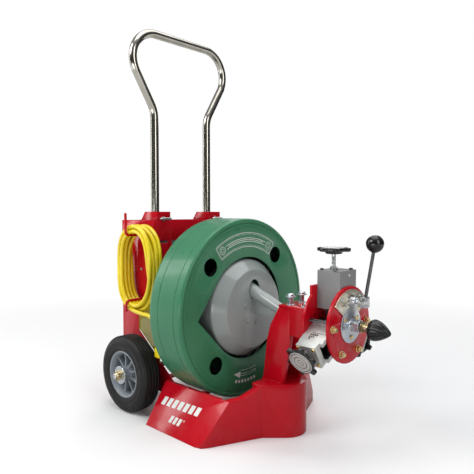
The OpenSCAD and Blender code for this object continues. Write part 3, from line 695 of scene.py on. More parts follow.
f = Form()
z_face = T - 2.05
b0, b1 = -33, 36
for r0, r1 in ((243.2, 245), (198, 199.8), (239.2, 240), (202.8, 203.6)):
    ribbon(f, r0, r1, b0, b1, z_face, at_drum)
for a0 in (b0, b1 - 0.45):
    ribbon(f, 198, 245, a0, a0 + 0.45, z_face, at_drum, 2)
for a0 in (b0 + 5.2, b1 - 5.2):
    c = polar(221.5, radians(a0))
    for r, n in ((13, 40), (7, 32)):
        plate(f, circle(r, n, c), [circle(r - (1.6 if r > 9 else 1.4), n, c)], z_face, z_face + 0.25,
              at_drum, lip=0.05)
for a0, a1, r0, r1 in ((b0 + 10, b1 - 10, 226, 228), (b0 + 10, b1 - 10, 215, 217),
                       (b0 + 13, b1 - 13, 220.6, 222.4)):
    ribbon(f, r0, r1, a0, a1, z_face, at_drum)
# the curved arrow for the way the drum turns, with plain ticks above and below it
for r0, r1 in ((214.4, 215.8), (221.2, 222.6)):
    ribbon(f, r0, r1, 170, 191, z_face, at_drum)
ribbon(f, 214.4, 222.6, 190.6, 191, z_face, at_drum, 2)
pts = [polar(r, radians(a)) for r, a in ((208, 171), (229, 171), (218.6, 163))]
f.rings([[(x * MM, y * MM, z * MM) for x, y in pts] for z in (z_face, z_face + 0.25)], 0, at_drum)
for i in range(9):
    ribbon(f, 203, 205.6, 172 + i * 2.2, 173.4 + i * 2.2, z_face, at_drum, 4)
for i in range(7):
    ribbon(f, 235, 245, 166 + i * 3.5, 168.1 + i * 3.5, z_face, at_drum, 4)
f.make("drum_face_marks", "drum", WHITE, angle=30)

# dome: spun sheet with a slot for the tube
f = Form()
DOME_X = 351
DOME_TOP_R = 124
SLOT_UP = 61
at0 = along(0)
side = [(155, 256), (157.6, 256), (158, 256.6), (158, 262), (158, 308), (157.6, 311.5), (156.2, 314.6),
        (153.5, 318), (130.4, 345.4), (127.8, 348.6), (125.8, 350.4), (DOME_TOP_R, DOME_X)]
lining = [(DOME_TOP_R, DOME_X - 3), (127, 345.6), (150.6, 317), (154, 312), (155, 306), (155, 300),
          (155, 256)]
for profile in (side, lining):
    f.lathe(profile, at0, 160, caps=False)
slot = [(SLOT_UP + x * (1.36 if x > 0 else 1.22), y) for x, y in circle(24.5, 48)]
plate(f, circle(DOME_TOP_R, 160), [slot], DOME_X - 3, DOME_X, at0, lip=1.0, outer_wall=False)
f.lathe([(0.1, 300), (32, 300), (32, DOME_X - 3)], at0, 48, caps=False)
f.stand_for("dome", DOME, 22)

# the tube leans out of the dome, then runs straight through the bracket
f = Form()
line = fillet([(306, 0, AXIS_Z + 72.9), (486, 0, AXIS_Z - 0.2), (560, 0, AXIS_Z)], 46, 3)
f.tube([P(*p) for p in line], [max(17.0, 23.2 - 6.2 * max(0, (p.x - 318)) / 150) * MM for p in line], 40)
f.stand_for("guide_tube", DOME, 40)
f = Form()
fin = [(351.2, 44), (351.2, -16), (420, -17), (468, -15), (482, -6), (470, 0), (440, 8)]
f.rings([[P(x, y, AXIS_Z + z) for x, z in fin] for y in (-3, 3)])
f.make("tube_gusset", "distributor", DOME, angle=30, round_mm=1.3)
f = Form()
# weld beads on both sides of the gusset's foot
up = range(-15, 42, 3)
for y in (-3.6, 3.6):
    f.tube([P(351.8, y, AXIS_Z + z) for z in up], [(1.9 + 0.5 * sin(z * 1.7)) * MM for z in up], 8)
for i, (y, z) in enumerate(((-45, 16), (10, -48), (45, 16), (-34, -34))):
    f.hexnut(along(351.1, y, AXIS_Z + z, (0, cos(i), sin(i))), 11.4, 5.4, washer=(9, 1.5), dome=0.8)
f.stand_for("tube_bolts", DOME, 30)

# the wound cable: turns of spring wire, seen through the drum's holes
f = Form()
WIRE_STEP = 17
turns = [(262, 190 + WIRE_STEP * i) for i in range(5)] + [(245, 198.5 + WIRE_STEP * i) for i in range(4)]
for r, x in turns + [(228, 207 + WIRE_STEP * i) for i in range(3)]:
    rows = []
    n = int(r * 0.9)
    for i in range(n):
        a = tau * i / n
        section = circle(7.9 - 0.55 * (i % 2), 10, (r, x))
        rows.append([(q * cos(a) * MM, q * sin(a) * MM, h * MM) for q, h in section])
    f.rings(rows, 0, at0, loop=True)
f.make("wound_cable", "drum", WIRE, "cable_pack", angle=70)
skin("drum_pulley", IRON_AND_SHADE, 0.6)

# ---------- base, post and rear frame ----------
skin("base_shell", RED, 3.0, angle=55, round_over=18)
RED_PARTS = {"base_rails": 0.8, "front_post": 1.2, "upright_right": 1.0, "upright_left": 1.0,
             "cross_plates": 0.9, "handle_sockets": 2.2, "motor_mount": 0.8, "rear_plate": 1.6,
             "front_plate": 1.3}
for node, r in RED_PARTS.items():
    skin(node, RED, r, angle=38)
BRACKET_TOP = AXIS_Z + 36
skin("post_bracket", [RED, ZINC], 1.0, lambda c: 1 if c.z > (BRACKET_TOP + 0.3) * MM else 0)
f = Form()
for y in (-28, 28):
    top = basis(P(518, y, BRACKET_TOP + 24), (0, 0, 1))
    f.lathe([(0.1, 0), (15, 0), (15.6, 0.6), (15.6, 2.2), (15, 2.8), (0.1, 2.8)], top, 40)
    f.lathe([(11, 2.8), (11, 8), (9.6, 9.6), (6, 10.4), (0.1, 10.6)], top, 32)
for y in (-30, 30):
    f.thread(basis(P(575, y, BRACKET_TOP + 10), (0, 0, 1)), 5, 5, 1.5, 0.5)
f.make("bracket_bolts", "frame", ZINC, angle=35)
f = Form()
# weld bead round the foot of the post
WELD_Z = 158.6
sides = [([P(x, s * 47.2, WELD_Z) for x in range(428, 504, 4)], 2.1) for s in (-1, 1)]
for pts, wave in sides + [([P(426.6, y, WELD_Z) for y in range(-46, 47, 4)], 2.3)]:
    f.tube(pts, [(2.6 + 0.7 * sin(i * wave)) * MM for i in range(len(pts))], 8)
f.make("post_welds", "frame", RED, angle=60)

# cord hooks, each bent from one rod
f = Form()
hook_lo, hook_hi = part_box("cord_hooks")
hook_x = mid("cord_hooks").x / MM - AXLE_X / MM
for z, end in ((hook_hi.z / MM - 75, 75), (hook_lo.z / MM + 34, -34)):
    bend = [(hook_x, -165.2, z), (hook_x, -239, z), (hook_x, -239, z + end * 0.955)]
    pts = [P(*p) for p in fillet(bend, 14, 3)]
    radii = [4.5 * MM] * len(pts) + [3.4 * MM, 1.2 * MM]
    pts += [pts[-1] + Vector((0, 0, copysign(d, end))) for d in (0.0024, 0.0034)]
    f.tube(pts, radii, 20)
    f.lathe([(4.4, 0), (6.6, 0), (6.9, 0.8), (6.2, 1.8), (4.6, 2.6)],
            basis(P(hook_x, -165.1, z), (0, -1, 0)), 28)
f.stand_for("cord_hooks", RED, 50)

# expanded metal guards
G_X0, G_X1, G_LOW, G_TOP, G_Y = -48, 60, 258, 349, -162.0


def in_guard(x, z):
    return G_X0 + 2 < x < G_X1 - 2 and G_LOW - (x - G_X0) * 0.75 + 3 < z < G_TOP - 2


def guard(f, side):
    """Crossed strands inside a folded rim that follows the upright's slope."""
    step_x, step_z = 8.4, 4.4
    across = Vector((0, 1, 0))
    for i in range(-1, 14):
        for j in range(0, 41):
            x, z = G_X0 + i * step_x + (j % 2) * step_x / 2, 176 + j * step_z
            for x1 in (x + step_x / 2, x - step_x / 2):
                if in_guard(x, z) and in_guard(x1, z + step_z):
                    a, b = P(x, side * (G_Y - 0.5), z), P(x1, side * (G_Y + 0.5), z + step_z)
                    d = (b - a).normalized()
                    w = d.cross(across).normalized() * 1.3 * MM
                    h = across * 0.8 * MM
                    ends = (a - d * 0.4 * MM, b + d * 0.4 * MM)
                    f.rings([[p - w - h, p + w - h, p + w + h, p - w + h] for p in ends])
    corners = ((G_X0, G_LOW), (G_X1, G_LOW - 81), (G_X1, G_TOP), (G_X0, G_TOP))
    loop = [P(x, side * G_Y, z) for x, z in corners]
    for i in range(4):
        a, b = loop[i], loop[(i + 1) % 4]
        w = (b - a).normalized().cross(across).normalized() * 2.6 * MM
        if (sum(loop, Vector()) / 4 - a).dot(w) < 0:
            w = -w
        h = across * 1.9 * MM
        f.rings([[p - h, p + w - h, p + w + h, p + h] for p in (a, b)])


f = Form()
guard(f, 1)
guard(f, -1)
f.stand_for("mesh_guards", GUARD, 50)

# ---------- handle ----------
h_lo, h_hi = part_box("handle")
HAND_R = 14.0
leg_x, leg_y = (h_lo.x + h_hi.x) / 2 / MM - AXLE_X / MM, 123.0
grip_y, grip_z = h_hi.y / MM - HAND_R, h_hi.z / MM - HAND_R
bend_r, flare, low_r = 92.0, radians(31), 90.0
arc_z, arc_y = grip_z - bend_r, grip_y - bend_r
tan_y, tan_z = arc_y + bend_r * cos(flare), arc_z - bend_r * sin(flare)
low_y = leg_y + low_r * (1 - cos(flare))
low_z = tan_z - (tan_y - low_y) / sin(flare) * cos(flare) - low_r * sin(flare)
half = [(leg_y, h_lo.z / MM + 0.2), (leg_y, 600)]
half += [(y, z) for y, z in reversed(arc(leg_y + low_r, low_z, low_r, 180 - degrees(flare), 180, 12))]
half += arc(arc_y, arc_z, bend_r, -degrees(flare), 90, 36)
f = Form()
whole = [P(leg_x, y, z) for y, z in half] + [P(leg_x, -y, z) for y, z in reversed(half)]
# walk the tube with fixed side vectors, so the wall is even; an inner skin shows at the open ends
for r in (HAND_R, HAND_R - 2):
    rows = []
    for i, p in enumerate(whole):
        t = (whole[min(i + 1, len(whole) - 1)] - whole[max(i - 1, 0)]).normalized()
        u = Vector((1, 0, 0))
        w = t.cross(u)
        rows.append([p + r * MM * (x * u + y * w) for x, y in circle(1, 40)])
    if r == HAND_R:
        f.rings(rows, caps=False)
        skin_rows = rows
    else:
        f.rings([row[::-1] for row in rows], caps=False)
        for i in (0, -1):
            f.rings([skin_rows[i], rows[i]], caps=False)
f.stand_for("handle", CHROME, 60)

# latch pins: a stem, a collar and a rounded cross bar
for side, name in ((-1, "right"), (1, "left")):
    lo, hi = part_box("latch_pin_" + name)
    x0, x1 = (lo.x - AXLE_X) / MM, (hi.x - AXLE_X) / MM
    pz, py = (lo.z + hi.z) / 2 / MM, (lo.y + hi.y) / 2 / MM
    f = Form()
    stem = [(0.1, 0), (3.4, 0), (4.4, 1.2), (4.95, 3), (4.95, 34), (4.95, x1 - x0 - 5)]
    f.lathe(stem, along(x0, py, pz), 32)
    f.lathe([(5, 0), (7.4, 0.4), (7.8, 1.4), (7.4, 2.4), (5, 2.8)], along(41, py, pz), 32)
    reach = (hi.y - lo.y) / MM / 2
    end = [(0.1, -reach), (2.2, -reach + 0.4), (3.6, -reach + 1.8), (4, -reach + 4), (4, -3)]
    bar = end + [(4.4, 0)] + [(r, -z) for r, z in reversed(end)]
    f.lathe(bar, basis(P(x1 - 4, py, pz), (0, 1, 0)), 28)
    f.stand_for("latch_pin_" + name, STEEL, 40)


# ---------- wheels ----------
def slab(w, z0, z1, r, n=3):
    """A rounded rectangle across Y and Z of a local frame, in mm."""
    x = w / 2 - r
    out = []
    for cx, cz, a in ((x, z1 - r, 0), (-x, z1 - r, 90), (-x, z0 + r, 180), (x, z0 + r, 270)):
        out += arc(cx, cz, r, a, a + 90, n)
    return out


axle_z = mid("axle").z / MM
for side, name in ((-1, "right"), (1, "left")):
    wy = side * abs(mid("tyre_" + name).y) / MM
    at = basis(P(0, wy, axle_z), (0, side, 0))
    tread = []
    for g in (17.5, 5.5, -5.5, -17.5):
        cut = [(126.9, 2.6), (126.3, 1.9), (122.8, 1.4)]
        tread += [(r, g + d) for r, d in cut] + [(r, g - d) for r, d in reversed(cut)]
    wall = [(77.4, 29), (80, 32.6), (85, 34), (88, 34.2), (88.8, 34.9), (91, 34.9), (91.8, 34.2),
            (98, 34.7), (104, 34.9), (105, 35.2), (106.4, 35.2), (107.2, 34.7), (113, 33.8), (118.6, 31.8),
            (122.8, 29), (125.4, 25.8), (126.6, 22.8)]
    f = Form()
    f.lathe(wall + tread + [(r, -z) for r, z in reversed(wall)], at, 144, caps=False)
    # moulding dimples round the shoulder
    for i in range(72):
        a = tau * i / 72
        for s in (1, -1):
            o = at @ Vector((*polar(0.1206, a), s * 0.0304))
            d = (at.to_3x3() @ Vector((*polar(0.6, a), s * 0.8))).normalized()
            f.lathe([(0.1, 0.9), (1.3, 0.7), (1.9, -0.6)], basis(o, d), 6)
    f.stand_for("tyre_" + name, TYRE, 42)
    f = Form()
    rim = [(77.6, 28.8), (78, 30.2), (77, 31), (74.6, 31), (72.4, 30.2), (70.6, 28), (66.4, 20),
           (65, 17.5), (65, -18), (66.4, -20), (70.6, -28), (72.4, -30.2), (77, -31), (78, -30.2),
           (77.6, -28.8)]
    f.lathe(rim, at, 128, 0, caps=False)
    # the web behind the spokes takes the dark motor paint: a painted shade for the dark gaps between the
    # spokes
    f.lathe([(24, -8), (40, -9), (65.2, -8), (65.2, -12), (24, -12)], at, 96, 1, loop=True)
    f.lathe([(10.1, 39), (18.6, 39), (20.4, 38.2), (21, 36.6), (21, 20), (23, 16), (27, 12), (29, 4),
             (29, -10), (21, -14), (21, -36.6), (20, -39), (10.1, -39)], at, 72)
    for i in range(9):
        a = tau * (i + 0.22) / 9
        sp_at = at @ Matrix.Rotation(a, 4, "Z")
        spoke = ((20, 11, -9.5, 19), (25, 8.4, -9.5, 17.5), (32, 7.2, -9.4, 16.6), (56, 6.4, -9, 15.4),
                 (63, 8.2, -9, 15.8), (67, 12, -9, 17))
        rows = [[(r * MM, y * MM, z * MM) for y, z in slab(w, z0, z1, 2.4)] for r, w, z0, z1 in spoke]
        f.rings(rows, 0, sp_at)
    f.lathe([(3.4, 0), (3.4, 9), (2.4, 10), (2.4, 15), (0.1, 15.4)],
            at @ basis((0.0655, 0, 0.008), (-1, 0, 0.35)), 14, 1)
    f.stand_for("hub_" + name, [HUB, MOTOR_PAINT_AND_SHADE], 34)
f = Form()
half_axle = (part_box("axle")[1].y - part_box("axle")[0].y) / 2 / MM
f.lathe([(0.1, -half_axle), (8.4, -half_axle), (9.9, -half_axle + 1.5), (9.9, -half_axle + 30),
         (9.9, half_axle - 30), (9.9, half_axle - 1.5), (8.4, half_axle), (0.1, half_axle)],
        basis(P(0, 0, axle_z), (0, 1, 0)), 48)
f.stand_for("axle", STEEL, 35)
f = Form()
WASHER_Y = 275.3
for side in (-1, 1):
    at = basis(P(0, side * WASHER_Y, axle_z), (0, side, 0))
    f.lathe([(10, 0), (29.4, 0), (30, 0.6), (30, 2.4), (29.4, 3), (10, 3)], at, 72, 1, loop=True)
    nut = basis(P(0, side * (WASHER_Y + 3.1), axle_z), (0, side, 0), (0.3, 0, 1))
    f.hexnut(nut, 28.4, 13.5, 12.5)
    f.lathe([(13.4, 13), (13.2, 16.5), (12.4, 18.2), (11, 18.6), (10.1, 17.6), (10.1, 12)], nut, 48, 0)
f.stand_for("axle_nuts", [GOLD, ZINC])

# ---------- motor, belt and switch ----------
MOTOR_X, MOTOR_Z = -128, 500
at = along(MOTOR_X, 0, MOTOR_Z)
f = Form()


def ribs(a, i, r):
    """Cooling ribs on the motor's middle."""
    return r + (1.6 if 60 < r < 64 and (degrees(a) % 12) < 4.4 else 0)


f.lathe([(0.1, 0), (30, 0), (46, 1.5), (55, 6), (58.6, 14), (59, 23), (62, 24.5), (64.6, 25.5), (65, 27),
         (65, 33), (64.2, 34)], at, 96, caps=False)
f.lathe([(64.2, 34), (62.6, 35.4), (62.6, 162), (64.2, 163.4)], at, 180, caps=False, wobble=ribs)
f.lathe([(64.2, 163.4), (65, 164.5), (65, 171), (64.6, 172.6), (62, 173.6), (59, 175), (58.4, 186),
         (54, 194), (44, 197.6), (26, 198), (26, 208.6), (24.6, 210), (8, 210)], at, 96, caps=False)
f.lathe([(8, 205), (8, 292), (7, 293), (0.1, 293)], at, 36, 1)
# air slots in the end bells
for i in range(14):
    a = tau * i / 14
    for z in (9.4, 190):
        o = at @ Vector((*polar(0.0562, a), z * MM))
        d = (at.to_3x3() @ Vector((*polar(1, a), -0.7 if z < 50 else 0.7))).normalized()
        f.lathe([(0.1, 0.8), (3.2, 0.7), (3.8, 0.2), (3.8, -2)], basis(o, d), 16, 2)
f.block(P(-70, -98, 470), P(30, -60, 510), 5)
for i in range(4):
    y, z = polar(48, i * pi / 2 + 0.8)
    f.hexnut(basis(P(MOTOR_X - 0.2, y, MOTOR_Z + z), (-1, 0, 0)), 8, 0.2)
for s in (-1, 1):
    lo, hi = sorted((s * 40, s * 64))
    f.block(P(-60, lo, 434.2), P(20, hi, 470), 2)
    for x in (-50, 10):
        f.hexnut(basis(P(x, s * 57, 452), (0, s, 0)), 10, 6, washer=(8, 1.5), mat=1)
# a rating plate, left blank
edge = ((64.9, 78), (64.9, 118), (63, 118), (63, 78))
f.rings([[(*polar(q * MM, radians(160 + i * 4)), z * MM) for q, z in edge] for i in range(11)], 1, at)
f.make("motor_form", BODY_OF["motor_body"], [MOTOR_PAINT_AND_SHADE, STEEL, BLACK], "motor_body", angle=32)
skin("motor_pulley", IRON_AND_SHADE, 0.5)
skin("drive_belt", BELT, 1.4, angle=50, round_over=60)
skin("bearing_block", IRON_AND_SHADE, 1.6)
f = Form()
f.block(P(-142.9, -54.8, 578), P(-85, 54.8, 634), 4.0)
f.block(P(-84.9, -50, 583), P(-84.2, 50, 629), 0.3)
for y in (-46, 46):
    for z in (587, 625):
        f.hexnut(along(-85, y, z), 6.5, 2.4, dome=0.6, mat=1)
gland = basis(P(ROUTE[0][0], -55, ROUTE[0][2]), (0, -1, 0))
f.lathe([(7.2, 11), (8, 12), (10.4, 12), (11, 11), (11, 6)], gland, 36)
f.lathe([(7.2, 11), (7.2, 1)], gland, 36, caps=False)
f.hexnut(gland, 25, 6.5, 7.4)
f.lathe([(9, 5), (11.6, 5), (13, 4), (13, 0), (9, 0)], basis(P(-143, 25, 612), (-1, 0, 0)), 40, 1)
f.stand_for("switch_box", [MOTOR_PAINT_AND_SHADE, STEEL])
skin("switch_lever", ZINC, 1.4, angle=40)

# ---------- plug ----------
f = Form()
px, py = mid("cord_plug").x / MM - AXLE_X / MM, mid("cord_plug").y / MM
at = basis(P(px, py, 0), (0, 0, 1), (1, 0, 0))
cone = []
for i in range(15):
    z = 236 + 39.5 * i / 15
    r = 15.6 - 5.0 * i / 15
    cone += [(r, z), (r + 0.3, z + 0.8), (r - 0.2, z + 1.7), (r - 1.5, z + 2.0), (r - 1.6, z + 2.5)]
f.lathe([(16.6, 230), (17, 232), (16.6, 235)] + cone + [(9.6, 275.6), (7.3, 275.6)], at, 48)
f.block(P(px - 14, py - 18, 198), P(px + 14, py + 18, 230.6), 4.5)
for z in (205, 211, 217, 223):
    for s in (-1, 1):
        rib = ((13.5, -12), (13.9, -11), (13.9, 11), (13.5, 12))
        f.tube([P(px + s * x, py + y, z) for x, y in rib], 1.1 * MM, 8)
f.block(P(px - 10, py - 14, 197.2), P(px + 10, py + 14, 199), 0.5, 1)
for y in (-6.4, 6.4):
    f.block(P(px - 3, py + y, 178), P(px + 3, py + y + 1.6, 198), 0.7, 2)
f.make("plug_form", BODY_OF["cord_plug"], [CORD, BLACK, GOLD], "cord_plug", angle=40)


# ---------- feeder ----------
FEED_X, TOP_DX, LOW_DX = 657.0, -8.5, -12.0
BULB_L = 61.0
FRONT_X = (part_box("nozzle")[0].x - AXLE_X) / MM


def station(turn, dx=0.0):
    """A feed station's frame: its Z runs out from the cable."""
    t = radians(turn)
    m = Matrix(((1, 0, 0), (0, cos(t), sin(t)), (0, -sin(t), cos(t)))).transposed().to_4x4()
    m.translation = P(FEED_X + dx, 0, AXIS_Z)
    return m


def shift(at, x, y, z, turn=0.0):
    """The frame at, moved in mm along its own axes and turned in degrees about its Z."""
    return at @ Matrix.Translation((x * MM, y * MM, z * MM)) @ Matrix.Rotation(radians(turn), 4, "Z")


def capscrew(form, at, r, h, mat=0):
    """A round head with a six-sided socket."""
    form.lathe([(r * 0.45, h - 1.4), (r * 0.5, h), (r * 0.88, h), (r, h - 0.7), (r, 0.4), (r * 0.96, 0)],
               at, 28, mat, caps=False)
    form.lathe([(0.1, h - 1.4), (r * 0.46, h - 1.4)], at, 6, mat, caps=False)


# top box: a small black stop and three screws
skin("housing_top", BOX, 1.3)
f = Form()
at = station(0)
f.block((0.016, -0.0393, 0.1472), (0.033, -0.0355, 0.1493), 0.3, 1, at)
capscrew(f, along(FEED_X + 37, 7, AXIS_Z + 135), 3.4, 1.8, 2)
for y in (-33, 38):
    capscrew(f, along(FEED_X + 37, y, AXIS_Z + 50), 3.0, 1.4, 1)
f.make("top_box_details", "frame", [STEEL, BLACK, WHITE], angle=30)

# the caps of all three housings: screws, washers and lock nuts
f = Form()
for x, y in ((-28, -30), (28, 31)):
    capscrew(f, shift(at, x, y, 149.05), 5.4, 4.8, 1)
f.lathe([(6.2, 0), (11, 0), (11.6, 0.6), (11.6, 1.8), (6.2, 1.8)], shift(at, TOP_DX, 0, 149.05), 40)
f.hexnut(shift(at, TOP_DX, 0, 150.85, 12), 18.4, 7.2, 6.3)
for s in (120, -120):
    at = station(s)
    for x in (-28, 19.5):
        for y in (-26, 26):
            f.hexnut(shift(at, x, y, 143.05, 17 * x + y), 8.8, 4.2, dome=0.5, mat=2, washer=(5.6, 1.0))
    f.lathe([(6.2, 0), (10, 0), (10.5, 0.5), (10.5, 5.2), (9.8, 6), (7.2, 6), (6.2, 5)],
            shift(at, LOW_DX, 0, 143.05), 44)
f.stand_for("housing_caps", [STEEL, IRON_AND_SHADE, GOLD])


def inside_low(c):
    """The guides inside the housings are left dark."""
    for s in (1, -1):
        a = radians(s * 120)
        y, z = c.y / MM, c.z / MM - AXIS_Z
        u, v = -y * sin(a) + z * cos(a), y * cos(a) + z * sin(a)
        if 40 < u < 122.6 and abs(v) < 21.2:
            return 1
    return 0


skin("housings_low", [ALU, IRON_AND_SHADE], 0.9, inside_low)
# plain marks and a pointer on the upper faces
f = Form()
for s in (120, -120):
    at = station(s)
    e = 1 if s > 0 else -1
    y = e * 33.0
    lo, hi = min(y, y + e * 0.25), max(y, y + e * 0.25)
    row = [(-15, 36, 87.6, 88.7)]
    row += [(x, x + 4.6, 92.6, 98.4) for x in (-16, -9.4, -2.8, 3.8)]
    row += [(x, x + 4.2, 101, 106) for x in (-16, -9.8, -3.6)]
    for x0, x1, z0, z1 in row:
        f.block((x0 * MM, lo * MM, z0 * MM), (x1 * MM, hi * MM, z1 * MM), 0.08, 0, at)
    pointer = ((-15.5, 108.4), (-6.5, 108.4), (-11, 115.4))
    f.rings([[(x * MM, h * MM, z * MM) for x, z in pointer] for h in (lo, hi)], 0, at)
    for x in (-30, 30):
        capscrew(f, basis(at @ Vector((x * MM, y * MM, 0.052)), at.to_3x3() @ Vector((0, e, 0))), 3.4, 1.7,
                 2)
f.make("housing_marks", "frame", [INK, IRON_AND_SHADE, STEEL], angle=30)


def star(a):
    """The radius of the knob's outline: a round body with six short square lobes."""
    d = ((degrees(a) - 15) % 60 + 30) % 60 - 30
    return 38 + 9.9 * exp(-(d / 11.6) ** 6)


# the knob from its face to its back: discs as (radius, height), its star outline as (inset, height)
KNOB_FACE = [(6.2, 5), (33.6, 5.05), (34.1, 5.4), (34.6, 6)]
KNOB_STAR = [(3.2, 6), (1.3, 5.5), (0.3, 4.4), (0, 3.2), (0, -2), (0.3, -3), (1.2, -3.8), (3, -4.4)]
KNOB_BACK = [(34, -4.8), (25, -5), (24.2, -5.6), (23.8, -9.4), (22.4, -11.2), (13.4, -12.8), (12, -13),
             (6.2, -13)]
# the inlay's profile: radius, height and material (1 is a dark groove)
INLAY = [(34, 5.15, 0), (34, 6.5, 0), (33.5, 7, 0), (31, 7, 0), (30.5, 6.4, 1), (28.4, 6.4, 0),
         (28, 6.9, 0), (20.4, 6.9, 0), (20, 6.4, 1), (17.6, 6.4, 0), (17.2, 6.9, 0), (10, 6.9, 0),
         (9.6, 6.4, 1), (7.6, 6.4, 0), (7.2, 7, 0), (3, 7, 0), (2.6, 6.3, 1), (0.1, 6.3, 1)]
for turn, name, dx, u in ((0, "top", TOP_DX, 205), (120, "right", LOW_DX, 166),
                          (-120, "left", LOW_DX, 166)):
    at = shift(station(turn), dx, 0, u)
    f = Form()
    rows = [level_ring(r, z, 216) for r, z in KNOB_FACE]
    rows += [level_ring(lambda a: star(a) - inset, z, 216) for inset, z in KNOB_STAR]
    f.rings(rows + [level_ring(r, z, 216) for r, z in KNOB_BACK], 0, at, caps=False)
    f.stand_for("knob_" + name, BLACK, 34)
    f = Form()
    for (r0, z0, m0), (r1, z1, _) in zip(INLAY, INLAY[1:]):
        f.lathe([(r0, z0), (r1, z1)], at, 96, m0, caps=False)
    f.thread(shift(station(turn), dx, 0, 82), 5.9, u - 100, 2.6, 0.8, 2, n=32)
    f.lathe([(5.9, 0), (5.9, 24)], shift(station(turn), dx, 0, u - 19), 32, 2)
    f.stand_for("screw_" + name, [ALU, INK, STEEL], 30)
    skin("carrier_" + name, IRON_AND_SHADE, 0.8)
    skin("roller_" + name, STEEL, 0.9)

# studs, washers and nuts through the front plate, and the tie rods
f = Form()
for i, turn in enumerate((-180, -120, -60, 0)):
    y, z = polar(86, radians(turn))
    nut = along(FRONT_X, y, AXIS_Z + z, (0, cos(i * 1.3), sin(i * 1.3)))
    f.lathe([(6, 0.03), (10.6, 0.03), (11, 0.4), (11, 1.3), (10.6, 1.6), (6, 1.6)], nut, 36)
    f.hexnut(shift(nut, 0, 0, 1.6), 15.6, 6.3, 5.4)
    f.thread(shift(nut, 0, 0, 4), 5.6, 9.8 - (i % 2) * 1.6, 1.3, 0.55, n=24)
    f.lathe([(5.9, -7.9), (5.9, 0.1)], nut, 24)
for i in range(3):
    a = radians(i * 120 + 258)
    for r, t in ((71, 0), (79, 4)):
        y, z = r * sin(a) + t * cos(a), -(r * cos(a) - t * sin(a))
        f.tube([P(620.1, y, AXIS_Z + z), P(FRONT_X - 8.1, y, AXIS_Z + z)], 2.4 * MM, 16, 1)
f.stand_for("plate_studs", [GOLD, IRON_AND_SHADE], 30)

# nozzle: a round flange with three bolts and a polished barrel
f = Form()
at = along(FRONT_X + 0.03)
flange = [(10.3, 0), (49, 0), (49.8, 0.6), (50, 1.4), (50, 3.8), (49.4, 4.7), (48.4, 5), (26, 5),
          (25, 5.5)]
barrel = [(21.4, 6.2), (18.6, 7.4), (17, 9.2), (16.5, 11), (16.5, 29.6), (17, 30.4), (17.5, 31.2),
          (17.5, 34.4), (16.8, 35.4), (12.6, 35.4), (11, 34.6), (10.3, 33)]
f.lathe(flange + barrel, at, 96, loop=True)
for turn in (180, 60, 300):
    a = radians(turn)
    f.hexnut(shift(at, *polar(34, a), 5, turn), 10.2, 3.2, dome=0.3, washer=(6.6, 0.9), mat=1)
f.stand_for("nozzle", [ZINC, GOLD], 30)

# cable: spring wire wound tight
f = Form()
rows = []
pitch, cable_r = 5.0, 7.95
x0, x1 = 483.0, 739.0
n = 20
steps = int((x1 - x0) / pitch) * 8
for i in range(steps + 1):
    x = x0 + (x1 - x0) * i / steps
    row = []
    for j in range(n):
        w = ((x - x0) / pitch - j / n) % 1
        y, z = polar(cable_r - 1.5 * (1 - sqrt(max(0, 1 - (2 * w - 1) ** 2))), tau * j / n)
        row.append(P(x, y, AXIS_Z + z))
    rows.append(row)
f.rings(rows)
f.make("feed_cable", BODY_OF["cable"], WIRE, "cable", angle=80)


def slotted(a, i, r):
    """Two opposite slots in the middle of the coupler."""
    off = abs((degrees(a) % 180 + 90) % 180 - 90)
    return r - 2.8 if off < 13 and 8 <= i <= 11 else r


END_X = 738
droop = Matrix.Translation(P(END_X, 0, AXIS_Z)) @ Matrix.Rotation(radians(5), 4, "Y")
at = droop @ basis((0.002, 0, 0), (1, 0, 0), (0, 0, 1))
f = Form()
collar = [(8, 0), (15.2, 0), (16, 0.8), (16, 3.4), (15.2, 4), (12.6, 4.3)]
sleeve = [(12, z) for z in (5, 6, 6.4, 10, 16, 21.4, 21.8, 24)] + [(11.4, 27), (10.6, 28), (0.1, 28)]
f.lathe(collar + sleeve, at, 180, caps=False, wobble=slotted)
for s in (-1, 1):
    f.lathe([(0.1, 1.4), (2, 1.2), (2.7, 0.4), (2.7, -1)], at @ basis((0, s * 0.0119, 0.0135), (0, s, 0)),
            20, 1)
f.stand_for("coupler", [BRASS, STEEL], 40)
at = droop @ basis(((824 - BULB_L - END_X) * MM, 0, 0), (1, 0, 0), (0, 0, 1))


def fluted(a, i, r):
    """Six flutes in the bulb, in front of its neck."""
    if i < 4:
        return r
    d = abs((degrees(a) % 60 + 30) % 60 - 30) / 30
    return r - min(3.6, r * 0.16) * max(0, 1 - d * 2.6) ** 0.8


bulb = [(12.4, 5), (15.6, 4), (15.7, 1), (16.6, 0.2), (22, 1.4), (26, 4.4), (28.2, 8.6), (29, 13.4),
        (28.6, 18), (27.4, 23), (25.4, 29), (22.6, 35), (19.2, 41), (15.2, 47), (11, 52.6), (7.2, 57),
        (3.8, 60.2), (0.1, 61)]
f = Form()
f.lathe(bulb, at, 180, caps=False, wobble=fluted)
f.make("bulb_form", BODY_OF["bulb_head"], BULB, "bulb_head", angle=60)

# ---------- feed lever ----------
skin("lever_yoke", [PALE, STEEL], 0.9, lambda c: 1 if c.x > P(707.5, 0, 0).x else 0)
f = Form()
at = along(FRONT_X + 4.2)
for turn in (60, 122):
    a = radians(turn)
    b = shift(at, 88 * sin(a), -88 * cos(a), 0.03)
    f.hexnut(b, 8.8, 3.6, dome=0.4, mat=1, washer=(6, 0.9))
